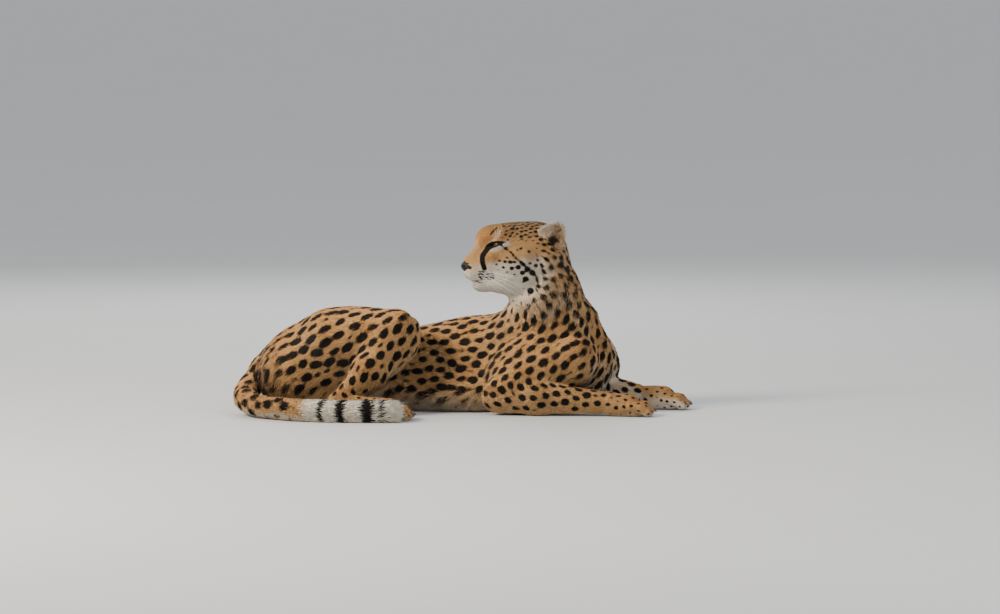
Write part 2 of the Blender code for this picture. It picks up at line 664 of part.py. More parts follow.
def ears_and_tail(whole):
    """The ears and the tail in three lengths, cut clear of the body that they stand on."""
    cuts = (0.0, 0.42, 0.74, 1.0)
    share = GAP / 0.45     # of the tail's length
    pieces = {}
    for name, side in (("ear_left", 1), ("ear_right", -1)):
        pieces[name] = new_object(name, *ear_mesh(side))
    for name, start, end in zip(("tail_base", "tail_middle", "tail_tip"), cuts[:-1], cuts[1:]):
        pieces[name] = new_object(name, *tail_length(start + share * (start > 0), end))
    skin = grown(whole, GAP)
    for obj in pieces.values():
        cut(obj, skin, "DIFFERENCE")
        largest_body(obj)
    remove(skin)
    return pieces


def finish(obj, colour, roughness):
    material = bpy.data.materials.new(obj.name)
    material.use_nodes = True
    shader = material.node_tree.nodes["Principled BSDF"]
    shader.inputs["Base Color"].default_value = (*colour, 1)
    shader.inputs["Roughness"].default_value = roughness
    shader.inputs["Metallic"].default_value = 0.0
    obj.data.materials.clear()
    obj.data.materials.append(material)
    obj.data.shade_smooth()
    obj.data.set_sharp_from_angle(angle=math.radians(50))


def main():
    for obj in list(bpy.data.objects):
        bpy.data.objects.remove(obj, do_unlink=True)
    for build in (trunk, right_hind_leg, left_hind_leg, right_foreleg, left_foreleg, neck, head):
        build()

    axes = [
        grid_line(-0.52, 0.53, GRID, (-0.01, 0.26)),
        grid_line(-0.30, 0.27, GRID, (-0.12, 0.06)),
        grid_line(-0.03, 0.45, GRID, (0.25, 0.44)),
    ]
    points, quads = surface_net(sampled(body, axes), axes)
    whole = new_object("body", projected(body, points), quads)
    thin_out(whole, BODY_TRIANGLES)
    for v in whole.data.vertices:
        v.co.z = 0.0 if v.co.z < 0.0008 else v.co.z

    pieces = ears_and_tail(whole)
    pieces |= part_the_body(whole)
    pieces |= eyes(pieces["head"])
    for name, obj in pieces.items():
        colour, roughness = COAT, 0.8
        if name.startswith("eye"):
            colour, roughness = IRIS, 0.08
        elif name == "nose":
            colour, roughness = LEATHER, 0.4
        elif "paw" in name or name == "tail_tip":
            colour = PALE_COAT
        finish(obj, colour, roughness)


main()
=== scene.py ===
"""A cheetah lying at rest, its head turned back over its right shoulder, life size: its skin, coat, eyes,
nose leather, whiskers and claws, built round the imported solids.

Metres. The body points along +X, its right side faces -Y, +Z is up and the floor is z = 0. The form is one
signed distance field of capsules and ellipsoids, as in the solids. The skin is that field's surface moved in
by the depth of the coat. The coat is many thin closed locks that stand on the skin and lie along it.
"""

import math
from collections import namedtuple

import bmesh
import bpy
import numpy as np
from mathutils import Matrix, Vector


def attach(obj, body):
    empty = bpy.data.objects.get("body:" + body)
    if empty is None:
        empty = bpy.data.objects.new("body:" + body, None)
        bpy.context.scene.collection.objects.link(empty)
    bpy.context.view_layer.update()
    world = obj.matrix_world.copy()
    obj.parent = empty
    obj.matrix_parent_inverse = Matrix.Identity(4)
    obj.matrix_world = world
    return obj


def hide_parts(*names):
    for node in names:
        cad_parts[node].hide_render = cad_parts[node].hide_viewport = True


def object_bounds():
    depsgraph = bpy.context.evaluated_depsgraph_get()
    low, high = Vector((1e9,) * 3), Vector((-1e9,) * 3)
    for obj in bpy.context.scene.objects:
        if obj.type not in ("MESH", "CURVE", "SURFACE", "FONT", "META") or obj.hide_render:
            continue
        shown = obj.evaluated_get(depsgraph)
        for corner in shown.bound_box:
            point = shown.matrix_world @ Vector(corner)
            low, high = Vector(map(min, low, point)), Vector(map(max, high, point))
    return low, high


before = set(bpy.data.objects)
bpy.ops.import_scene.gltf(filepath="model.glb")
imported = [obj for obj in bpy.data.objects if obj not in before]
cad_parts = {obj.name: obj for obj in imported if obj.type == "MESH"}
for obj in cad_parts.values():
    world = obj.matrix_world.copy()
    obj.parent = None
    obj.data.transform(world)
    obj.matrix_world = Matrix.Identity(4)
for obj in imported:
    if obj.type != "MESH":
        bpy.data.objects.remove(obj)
CAD_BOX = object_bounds()

RANDOM = np.random.default_rng(11)
CM = 0.01               # the head's sizes are in centimetres of its own frame
BOTH = (1, -1)          # the head's left and right sides
DOWN, BACK = (0, 0, -1), (-1, 0, 0)

# For each kind of part: how deep its coat is, how long and wide its locks are, how many stand on a square
# centimetre, and how far apart its spots are. Metres.
Coat = namedtuple("Coat", "depth length width count spacing")
COATS = {
    "trunk": Coat(0.0045, 0.0150, 0.0021, 21, 0.0205),
    "thigh": Coat(0.0048, 0.0155, 0.0021, 21, 0.0235),
    "shank": Coat(0.0040, 0.0130, 0.0019, 24, 0.0225),
    "foreleg": Coat(0.0032, 0.0105, 0.0016, 32, 0.0172),
    "paw": Coat(0.0016, 0.0050, 0.0010, 58, 0.0125),
    "neck": Coat(0.0052, 0.0165, 0.0020, 24, 0.0190),
    "head": Coat(0.0022, 0.0062, 0.0010, 82, 0.0080),
    "tail": Coat(0.0050, 0.0170, 0.0019, 28, 0.0215),
    "ear": Coat(0.0012, 0.0075, 0.0010, 110, 0.0110),
}
SKIN_STEP = 0.0055      # spacing of the grid that the skin is first sampled on
SKIN_FLOOR = 0.0012     # height of the skin where the animal lies on the floor


# ------------------------------------------------------------ vectors and distances

def vec(*values):
    return np.array(values, np.float64)


def unit(v):
    v = np.asarray(v, np.float64)
    return v / np.maximum(np.linalg.norm(v, axis=-1, keepdims=True), 1e-12)


def turned(yaw, pitch=0.0, roll=0.0):
    """Columns are forward, left and up after a yaw about Z, a pitch up and a roll, in degrees."""
    y, p, r = (math.radians(angle) for angle in (yaw, pitch, roll))
    forward = vec(math.cos(p) * math.cos(y), math.cos(p) * math.sin(y), math.sin(p))
    left = vec(-math.sin(y), math.cos(y), 0)
    up = np.cross(forward, left)
    across, above = math.cos(r) * left + math.sin(r) * up, math.cos(r) * up - math.sin(r) * left
    return np.stack([forward, across, above], axis=1)


def dots(a, b):
    return np.einsum("...i,...i->...", a, b)


def lengths(v):
    return np.sqrt(dots(v, v))


def smoothstep(low, high, x):
    t = np.clip((x - low) / (high - low), 0, 1)
    return t * t * (3 - 2 * t)


def smooth_min(a, b, soft):
    """The union of two distances, filleted over about the width soft."""
    h = np.maximum(soft - np.abs(a - b), 0) / soft
    return np.minimum(a, b) - h * h * soft / 4


def smooth_max(a, b, soft):
    return -smooth_min(-a, -b, soft)


def cone(p, a, b, ra, rb, thin=None, share=1.0):
    """Distance to the hull of two balls at a and b, squeezed to share of its width along thin."""
    a, b = np.asarray(a, np.float32), np.asarray(b, np.float32)
    q, axis = p - a, b - a
    if thin is not None:
        across = unit(vec(*thin) - np.dot(thin, unit(axis)) * unit(axis)).astype(np.float32)
        q = q + np.outer(q @ across, across) * np.float32(1 / share - 1)
    reach = math.sqrt(float(axis @ axis))
    t = np.clip(q @ axis / reach ** 2, 0, 1)
    t = np.clip(t + lengths(q - t[:, None] * axis) * (ra - rb) / reach ** 2, 0, 1)
    return (lengths(q - t[:, None] * axis) - (ra + (rb - ra) * t)) * np.float32((1 + share) / 2)


def line_distance(p, line, radius=0.0):
    """Distance to the chain of straight lines through the points of line, less radius."""
    return np.min([cone(p, a, b, radius, radius) for a, b in zip(line[:-1], line[1:])], axis=0)


def lump(p, centre, radii, axes=None):
    """About the distance to an ellipsoid with its radii along axes."""
    q = p - np.asarray(centre, np.float32)
    if axes is not None:
        q = q @ axes.astype(np.float32)
    radii = np.asarray(radii, np.float32)
    k = lengths(q / radii)
    return k * (k - 1) / np.maximum(lengths(q / radii ** 2), 1e-6)


def ripple(p, size, seed):
    """Smooth noise, mostly within -1 to 1: the sum of eight waves of about this size in fixed directions."""
    draw = np.random.default_rng(seed)
    ways = unit(draw.normal(size=(8, 3))).T * (2 * math.pi / size * draw.uniform(0.6, 1.5, 8))
    return np.sin(p @ ways + draw.uniform(0, 2 * math.pi, 8)).sum(axis=1) / 3


def spline(points, count):
    """A smooth (Catmull-Rom) curve through the points."""
    p = np.array(points, np.float64)
    p = np.vstack([2 * p[0] - p[1], p, 2 * p[-1] - p[-2]])
    t = np.linspace(0, len(points) - 1 - 1e-9, count)
    i = t.astype(int)
    u = (t - i)[:, None]
    a, b, c, d = p[i], p[i + 1], p[i + 2], p[i + 3]
    bend, twist = 2 * a - 5 * b + 4 * c - d, 3 * b - a - 3 * c + d
    return 0.5 * (2 * b + (c - a) * u + bend * u ** 2 + twist * u ** 3)


# ------------------------------------------------------------ the body's masses

# part; distance function; softness of its blend; the way its coat lies; the way its pale side faces, the
# longer the paler; how long its spots are for their width, and whether they run across the lie of the coat.
Mass = namedtuple("Mass", "part distance soft lie under long across")
MASSES = []


def add_mass(part, distance, soft, lie=BACK, under=DOWN, pale=1.0, long=1.15, across=False):
    MASSES.append(Mass(part, distance, soft, unit(lie), unit(under) * pale, long, across))


def add_cone(part, a, b, ra, rb, soft, thin=None, share=1.0, **coat):
    coat.setdefault("lie", vec(*b) - vec(*a))
    add_mass(part, lambda p: cone(p, a, b, ra, rb, thin, share), soft, **coat)


def add_lump(part, centre, radii, soft, axes=None, **coat):
    add_mass(part, lambda p: lump(p, centre, radii, axes), soft, **coat)


def trunk():
    """Chest, ribs, loin, croup, the belly that lies on the floor, and the root of the tail."""
    add_lump("trunk", (0.215, 0.010, 0.115), (0.125, 0.082, 0.119), 0.02, turned(-17), lie=(-0.7, 0, -0.7))
    add_lump("trunk", (0.085, 0.036, 0.104), (0.185, 0.086, 0.106), 0.05, turned(-8))
    add_cone("trunk", (0.02, 0.046, 0.096), (-0.20, 0.04, 0.102), 0.082, 0.087, 0.05, (0, 1, 0), 0.84)
    add_lump("trunk", (0.00, 0.028, 0.047), (0.19, 0.088, 0.056), 0.04, turned(-4))
    add_lump("trunk", (-0.295, 0.03, 0.115), (0.125, 0.084, 0.088), 0.05, turned(2, 8, -14), long=1.25)
    add_cone("trunk", (-0.36, 0.04, 0.122), (-0.425, 0.014, 0.088), 0.046, 0.034, 0.04)


def right_hind_leg():
    """Folded with the knee raised: the thigh's mound, the shank down to the hock, the foot on the floor."""
    knee, hock = (-0.137, -0.085, 0.180), (-0.262, -0.197, 0.036)
    shin_top, calf = (-0.142, -0.100, 0.166), (-0.195, -0.153, 0.098)
    mound = dict(lie=(-0.85, 0, -0.5), under=(0, 1, -0.3), long=1.6)
    rear = dict(lie=(-0.7, 0, -0.7), under=(0, 1, -0.5), long=1.3)
    shin = dict(lie=(-0.5, -0.3, -0.8), under=(0.3, 0.8, -0.3))
    above_knee = mound | dict(lie=(-0.6, 0, -0.75))
    add_lump(
        "thigh_right", (-0.255, -0.052, 0.138), (0.155, 0.064, 0.092), 0.03, turned(-14, 6, -12), **mound)
    add_lump("thigh_right", (-0.355, -0.040, 0.085), (0.085, 0.082, 0.082), 0.04, turned(0, 14, -10), **rear)
    add_cone("thigh_right", (-0.28, -0.06, 0.158), knee, 0.066, 0.050, 0.035, **above_knee)
    add_cone("shank_right", shin_top, calf, 0.044, 0.036, 0.03, **shin)
    add_cone("shank_right", calf, hock, 0.036, 0.021, 0.03, **shin)
    add_cone("hindpaw_right", hock, (-0.150, -0.222, 0.020), 0.022, 0.021, 0.012, (0, 1, 0), 0.9)


def left_hind_leg():
    """Folded flat beside the loin."""
    knee, hock = (-0.135, 0.126, 0.098), (-0.315, 0.155, 0.034)
    shin_top, calf = (-0.140, 0.132, 0.078), (-0.235, 0.150, 0.055)
    mound = dict(lie=(-0.4, 0, -0.9), under=(0, -1, -0.3), long=1.3)
    add_lump("thigh_left", (-0.270, 0.095, 0.100), (0.145, 0.058, 0.086), 0.03, turned(10, 4, 6), **mound)
    add_cone("thigh_left", (-0.27, 0.098, 0.115), knee, 0.062, 0.045, 0.035, **mound)
    add_cone("shank_left", shin_top, calf, 0.043, 0.035, 0.022, lie=(-1, 0, -0.4), under=(0, -1, -0.4))
    add_cone("shank_left", calf, hock, 0.035, 0.021, 0.02, under=(0, -1, -0.4))
    add_cone("hindpaw_left", hock, (-0.205, 0.185, 0.020), 0.022, 0.021, 0.012)


def right_foreleg():
    shoulder, elbow, wrist = (0.250, -0.078, 0.118), (0.085, -0.104, 0.042), (0.322, -0.128, 0.029)
    middle = (0.165, -0.113, 0.040)
    blade = dict(lie=(-0.8, 0, -0.6), under=(0.6, 0.8, 0))
    inner = dict(under=(0, 1, -0.5))
    ridge = (0.120, -0.022, 0.178), (0.235, -0.076, 0.125)
    add_cone("trunk", *ridge, 0.040, 0.050, 0.035, (-0.1, 1, 0), 0.75, **blade)
    add_cone("trunk", shoulder, (0.115, -0.092, 0.068), 0.050, 0.042, 0.035, **blade)
    add_lump("trunk", (0.140, -0.072, 0.100), (0.085, 0.038, 0.060), 0.03, turned(-12, 25), **blade)
    add_cone("foreleg_right", elbow, middle, 0.037, 0.037, 0.022, **inner)
    add_cone("foreleg_right", middle, wrist, 0.037, 0.0245, 0.02, **inner)


def left_foreleg():
    shoulder, elbow, wrist = (0.290, 0.076, 0.120), (0.155, 0.108, 0.052), (0.385, 0.050, 0.033)
    middle = (0.255, 0.085, 0.058)
    # Less pale than the right side (0.6 against 1): painted shade on the far shoulder and foreleg.
    blade = dict(lie=(-0.8, 0, -0.6), under=(0.6, -0.8, 0), pale=0.6)
    inner = dict(under=(0, -1, -0.5), pale=0.6)
    breast = dict(lie=(0.3, 0, -1), under=(0, -1, 0))
    ridge = (0.145, 0.066, 0.178), (0.270, 0.076, 0.128)
    add_cone("trunk", *ridge, 0.042, 0.053, 0.035, (0.3, 1, 0), 0.75, **blade)
    add_cone("trunk", shoulder, (0.175, 0.100, 0.070), 0.053, 0.044, 0.035, **blade)
    add_lump("trunk", (0.190, 0.088, 0.102), (0.085, 0.038, 0.062), 0.03, turned(5, 25), **blade)
    add_cone("trunk", (0.318, 0.070, 0.090), (0.300, 0.080, 0.060), 0.030, 0.030, 0.04, **breast)
    add_cone("foreleg_left", elbow, middle, 0.042, 0.041, 0.022, **inner)
    add_cone("foreleg_left", middle, wrist, 0.041, 0.0250, 0.02, **inner)


def neck():
    top, middle, low = (0.184, -0.030, 0.325), (0.192, -0.019, 0.258), (0.218, -0.004, 0.195)
    throat = dict(lie=(0.1, 0, -1), under=(-0.9, -0.35, -0.2), pale=0.80, long=1.7, across=True)
    chest = dict(lie=DOWN, under=(0.8, -0.2, -0.3), pale=0.55, long=1.7, across=True)
    withers = (0.200, -0.015, 0.215), (0.135, 0.020, 0.165)
    add_cone("neck", top, middle, 0.052, 0.059, 0.05, **throat)
    add_cone("neck", middle, low, 0.058, 0.088, 0.07, **chest)
    add_cone("neck", *withers, 0.056, 0.045, 0.06, lie=(-0.7, 0, -0.7))


HEAD_AT = vec(0.165, -0.030, 0.354)     # between the ears, and the way the face looks
HEAD_AXES = turned(190, 0, -3)


def head_point(x, y, z):
    """A point of the head's frame: forward, left and up, in centimetres."""
    return HEAD_AT + HEAD_AXES @ (vec(x, y, z) * CM)


def in_head(p):
    """Points in the head's frame, in centimetres."""
    return (p - HEAD_AT.astype(p.dtype)) @ HEAD_AXES.astype(p.dtype) / p.dtype.type(CM)


def mirrored(q):
    return np.stack([q[:, 0], np.abs(q[:, 1]), q[:, 2]], axis=1)


def from_head(q):
    """Points of the head's frame back in metres."""
    return HEAD_AT + q * CM @ HEAD_AXES.T


def sided(values, side):
    """A place or a way given for the left side, 1, or mirrored to the right, -1."""
    return vec(*values) * vec(1, side, 1)


def head_cone(a, b, ra, rb, soft, sides=(1,), lie=None):
    for side in sides:
        ends = head_point(*sided(a, side)), head_point(*sided(b, side))
        way = ends[1] - ends[0] if lie is None else HEAD_AXES @ sided(lie, side)
        add_cone("head", *ends, ra * CM, rb * CM, soft * CM, lie=way)


def head_lump(centre, radii, soft, sides=(1,), yaw=0.0, pitch=0.0, lie=(-1, 0, 0.1)):
    for side in sides:
        axes = HEAD_AXES @ turned(side * yaw, pitch)
        way = HEAD_AXES @ sided(lie, side)
        add_lump("head", head_point(*sided(centre, side)), vec(*radii) * CM, soft * CM, axes, lie=way)


def head():
    # skull, brow and the bridge of the nose
    head_lump((0.4, 0, 0.9), (7.0, 5.5, 5.7), 3.0)
    head_lump((6.2, 0, 2.0), (5.4, 4.5, 4.3), 2.5, lie=(-0.8, 0, 0.6))
    head_lump((10.0, 0, 2.65), (3.25, 2.8, 3.0), 1.8, lie=(-0.7, 0, 0.7))
    head_lump((9.0, 2.3, 3.2), (2.4, 1.7, 1.2), 1.8, BOTH, yaw=-25, pitch=10, lie=(-0.8, 0.1, 0.6))
    head_cone((14.5, 0, -2.05), (10.6, 0, 1.5), 1.25, 2.0, 1.6, lie=(-0.7, 0, 0.7))
    # cheekbones and cheeks
    head_cone((9.8, 3.2, -0.7), (3.0, 4.7, -1.0), 1.35, 2.2, 2.5, BOTH)
    head_cone((11.2, 1.5, -2.6), (6.0, 3.3, -3.6), 2.0, 2.7, 2.5, BOTH, lie=(-1, 0.3, -0.2))
    head_lump((3.6, 3.6, -3.9), (4.9, 2.6, 3.7), 2.4, BOTH, lie=(-1, 0.1, -0.3))
    # muzzle, whisker pads and nose
    head_cone((13.4, 0, -3.8), (9.0, 0, -2.8), 2.2, 3.3, 1.8)
    head_lump((12.9, 1.35, -4.6), (2.5, 1.6, 1.9), 1.3, BOTH, lie=(-0.9, 0.3, -0.3))
    head_lump((15.0, 0, -3.2), (1.1, 1.25, 1.2), 0.6)
    # lower jaw and throat
    head_cone((12.3, 0, -6.8), (8.5, 0, -6.5), 1.5, 2.25, 1.0)
    head_cone((11.3, 0.9, -6.6), (2.5, 3.3, -5.2), 1.7, 2.6, 1.8, BOTH)
    head_cone((5.0, 0, -6.4), (-1.0, 0, -7.0), 3.2, 5.0, 3.0)


PAWS = {    # a point on the floor under the middle of the paw, its yaw in degrees and its size
    "forepaw_right": ((0.388, -0.133, 0.0), -3, 1.0),
    "forepaw_left": ((0.470, 0.040, 0.0), -6, 1.05),
    "hindpaw_right": ((-0.133, -0.228, 0.0), -8, 0.95),
    "hindpaw_left": ((-0.172, 0.192, 0.0), 12, 0.95),
}
TOES = (-1.5, -0.5, 0.5, 1.5)


def toe_points(place):
    """Knuckle, bend and tip of a toe in the paw's frame; the middle two reach further."""
    ahead = 0.020 - 0.0065 * (abs(place) - 0.5)
    y = place * 0.0165
    tip = (ahead + 0.006, y * 1.08 + 0.001 * place, 0.0125)
    return (ahead - 0.030, y * 0.86, 0.024), (ahead - 0.006, y, 0.021), tip


def paw(p, at, yaw, size):
    """A flattened palm and four toes, the middle two ahead of the outer ones."""
    q = (p - np.asarray(at, np.float32)) @ turned(yaw).astype(np.float32) / np.float32(size)
    d = smooth_min(
        lump(q, (-0.030, 0, 0.022), (0.036, 0.028, 0.021)),
        cone(q, (-0.055, 0, 0.026), (-0.02, 0, 0.026), 0.024, 0.022),
        0.015,
    )
    for place in TOES:
        knuckle, bend, tip = toe_points(place)
        toe = smooth_min(cone(q, knuckle, bend, 0.0115, 0.0118), cone(q, bend, tip, 0.0118, 0.0102), 0.005)
        d = smooth_min(d, toe, 0.0035)
    webs = lump(q, (-0.006, 0, 0.009), (0.024, 0.026, 0.010))
    return smooth_min(d, webs, 0.004) * np.float32(size)


def paws():
    for part, place in PAWS.items():
        lie = turned(place[1])[:, 0] + vec(0, 0, -0.25)
        under = (0, -math.copysign(0.6, place[0][1]), -0.8)
        add_mass(part, lambda p, place=place: paw(p, *place), 0.010, lie, under, pale=0.9)


TAIL_ROUTE = [  # from the croup round the right side of the rump and forward along the floor
    (-0.375, 0.040, 0.120), (-0.432, 0.010, 0.084), (-0.468, -0.065, 0.042), (-0.445, -0.165, 0.029),
    (-0.360, -0.245, 0.0245), (-0.255, -0.281, 0.0235), (-0.158, -0.286, 0.0235),
]
TAIL_LINE = spline(TAIL_ROUTE, 49)
TAIL_WAY = unit(np.gradient(TAIL_LINE, axis=0))


def tail_radius(s):
    """Thick at the root, even along its length and a little fuller at the tip; s runs from 0 to 1."""
    return 0.0235 + 0.0125 * (1 - s) ** 3 + 0.002 * np.sin(math.pi * np.clip((s - 0.6) / 0.4, 0, 1))


def tail_place(p):
    """How far along the tail each point is, 0 at its root to 1, and its distance to the tail's surface."""
    share, least = np.zeros(len(p)), np.full(len(p), 1.0, np.float32)
    near = np.nonzero((p[:, 0] < -0.09) & (p[:, 2] < 0.22))[0]
    q, best, place = p[near], np.full(len(near), 1.0, np.float32), np.zeros(len(near))
    last = len(TAIL_LINE) - 1
    for i in range(last):
        a, axis = TAIL_LINE[i].astype(np.float32), (TAIL_LINE[i + 1] - TAIL_LINE[i]).astype(np.float32)
        t = np.clip((q - a) @ axis / float(axis @ axis), 0, 1)
        s = (i + t) / last
        d = lengths(q - a - t[:, None] * axis) - tail_radius(s).astype(np.float32)
        place = np.where(d < best, s, place)
        best = np.minimum(best, d)
    share[near], least[near] = place, best
    return share, least


# ------------------------------------------------------------ the eyes' openings, the nose and the mouth

EYE = (8.5, 2.85, 2.0)          # left eyeball, in the head's frame
EYE_RADIUS = 1.5
GAZE = unit((0.80, 0.60, -0.02))
EYE_TILT = math.radians(18)     # the outer corner stands higher
LID = 0.28                      # how far the lids stand off the eyeball
OPENING = (1.5, 0.35, 0.28)     # half length of the opening, and its heights above and below its corners
LID_FOLD = (4.35, 3.2)          # the upper lid's fold: its radius, and how far below the eye its centre is
NOSE = (14.6, 0, -3.15)         # middle and radii of the nose leather
NOSE_RADII = (1.75, 1.80, 1.42)
MOUTH = [(15.2, 0, -5.6), (14.3, 1.3, -6.1), (12.8, 2.5, -6.2), (11.0, 3.2, -5.9), (9.6, 3.7, -5.3)]
GROOVE = [(15.7, 0, -4.0), (15.2, 0, -5.6)]     # from the nose down to the lip


def eye_frame(side):
    """Columns: out along the gaze, towards the outer corner and up across the opening."""
    gaze = sided(GAZE, side)
    outward = unit(np.cross(vec(0, 0, 1), gaze)) * side
    upward = unit(vec(0, 0, 1) - gaze[2] * gaze)
    outer = math.cos(EYE_TILT) * outward + math.sin(EYE_TILT) * upward
    return np.stack([gaze, outer, math.cos(EYE_TILT) * upward - math.sin(EYE_TILT) * outward], axis=1)


def in_eye(q, side):
    """Points of the head's frame in an eye's frame, from the middle of the eyeball."""
    return (q - sided(EYE, side).astype(q.dtype)) @ eye_frame(side).astype(q.dtype)


def from_eye(points, side):
    """Points of an eye's frame back in metres."""
    return from_head(sided(EYE, side) + points @ eye_frame(side).T)


def opening_circles():
    """Radii of the two wide circles whose overlap is the eye's opening."""
    long, high, low = OPENING
    return (long ** 2 + high ** 2) / (2 * high), (long ** 2 + low ** 2) / (2 * low)


def almond(x, y):
    """Signed distance, in centimetres, to the eye's opening: where two wide circles overlap."""
    high, low = OPENING[1:]
    r_high, r_low = opening_circles()
    return np.maximum(np.hypot(x, y + r_high - high) - r_high, np.hypot(x, y - r_low + low) - r_low)


def near_face(p):
    return lengths(p - head_point(9, 0, -2).astype(p.dtype)) < 0.14


def bareness(p):
    """The share of its usual depth that the coat keeps: 1, and less round the eyes, nose and mouth."""
    share = np.ones(len(p), p.dtype)
    near = near_face(p)
    q = in_head(p[near])
    left = mirrored(q)
    eye = in_eye(left, 1)
    lid = np.maximum(almond(eye[:, 1], eye[:, 2]), lengths(eye) - EYE_RADIUS - LID - 0.3)
    nose = lump(q, NOSE, NOSE_RADII)
    mouth = line_distance(left, MOUTH)
    kept = smoothstep(0.05, 1.3, lid) * smoothstep(-0.1, 1.6, nose)
    kept = kept * (0.45 + 0.55 * smoothstep(0.1, 0.9, mouth))
    share[near] = 0.22 + 0.78 * kept
    return share


def with_face(p, distance):
    """Adds the lids, cuts the eyes' openings down into the eyeballs, and cuts the mouth and the groove."""
    near = near_face(p)
    q = in_head(p[near])
    d = distance[near] / np.float32(CM)
    for side in BOTH:
        w = in_eye(q, side)
        ball = lengths(w) - EYE_RADIUS
        d = smooth_min(d, ball - LID, 1.0)
        fold = np.abs(np.hypot(w[:, 1], w[:, 2] + LID_FOLD[1]) - LID_FOLD[0]) + np.abs(w[:, 0] - 1.2) * 0.1
        d = d + 0.07 * np.exp(-(fold / 0.16) ** 2) * (np.abs(w[:, 1]) < 1.6) * (w[:, 0] > 0)
        opening = np.maximum(almond(w[:, 1], w[:, 2]), -w[:, 0])
        d = smooth_max(d, -np.maximum(opening, -(ball + 0.2)), 0.12)
    d = smooth_max(d, -(lump(q, NOSE, NOSE_RADII) + 0.12), 0.1)
    d = smooth_max(d, -line_distance(mirrored(q), MOUTH, 0.15), 0.35)
    d = smooth_max(d, -line_distance(q, GROOVE, 0.13), 0.3)
    distance = distance.copy()
    distance[near] = d * np.float32(CM)
    return distance


# ------------------------------------------------------------ the field

def mass_distances(p):
    return np.stack([mass.distance(p) for mass in MASSES], axis=1).astype(np.float32)


def mass_shares(distances, tail, width=0.012):
    """How much each mass, and last of all the tail, has a say at each point: falling off over this width."""
    d = np.column_stack([distances, tail])
    w = np.exp(-(d - d.min(axis=1, keepdims=True)) / width)
    return w / w.sum(axis=1, keepdims=True)


def part_names():
    """The part of each mass, and last the tail: the order of the shares."""
    return [mass.part for mass in MASSES] + ["tail"]


def share_of(shares, word):
    """The say of all the parts whose names hold this word."""
    return shares[:, [word in part for part in part_names()]].sum(axis=1)


def kind_of(part):
    return "paw" if "paw" in part else part.split("_")[0]


def by_mass(value):
    """One value for each mass and last for the tail, read off the coat table."""
    return np.array([getattr(COATS[kind_of(part)], value) for part in part_names()])


def whole_body(p):
    """Distance to the coat's outer surface, and the masses' shares there."""
    distances = mass_distances(p)
    tail = tail_place(p)[1]
    d = distances[:, 0]
    for mass, distance in zip(MASSES[1:], distances.T[1:]):
        d = smooth_min(d, distance, np.float32(mass.soft))
    root = np.exp(-(lengths(p - TAIL_LINE[0].astype(np.float32)) / 0.09) ** 2)
    d = smooth_min(with_face(p, d), tail, np.float32(0.006) + np.float32(0.03) * root)
    return d, mass_shares(distances, tail)


def skin_field(p):
    """Distance to the skin, which lies in from the coat's surface by its depth and flat on the floor."""
    d, shares = whole_body(p)
    depth = shares @ by_mass("depth") * bareness(p)
    return smooth_max(d + depth.astype(np.float32), np.float32(SKIN_FLOOR) - p[:, 2], np.float32(0.004))


def sampled(field, axes, block=8):
    """The field on a grid, worked out only in blocks near the surface; elsewhere only its sign counts."""
    blocks = [-(-len(a) // block) for a in axes]
    low = [np.array([a[i * block] for i in range(n)]) for a, n in zip(axes, blocks)]
    high = [np.array([a[min((i + 1) * block, len(a) - 1)] for i in range(n)]) for a, n in zip(axes, blocks)]
    centres = np.stack(np.meshgrid(*[(l + h) / 2 for l, h in zip(low, high)], indexing="ij"), -1)
    halves = np.stack(np.meshgrid(*[(h - l) / 2 for l, h in zip(low, high)], indexing="ij"), -1)
    rough = field(centres.reshape(-1, 3).astype(np.float32)).reshape(blocks)
    near = np.abs(rough) < np.linalg.norm(halves, axis=-1) * 1.7 + 0.008
    cut = tuple(slice(0, len(a)) for a in axes)
    values, mask = (np.kron(part, np.ones((block,) * 3, part.dtype))[cut] for part in (rough, near))
    where = np.nonzero(mask)
    points = np.stack([a[w] for a, w in zip(axes, where)], -1).astype(np.float32)
    chunks = np.array_split(points, len(points) // 200000 + 1)
    values[where] = np.concatenate([field(chunk) for chunk in chunks])
    return values


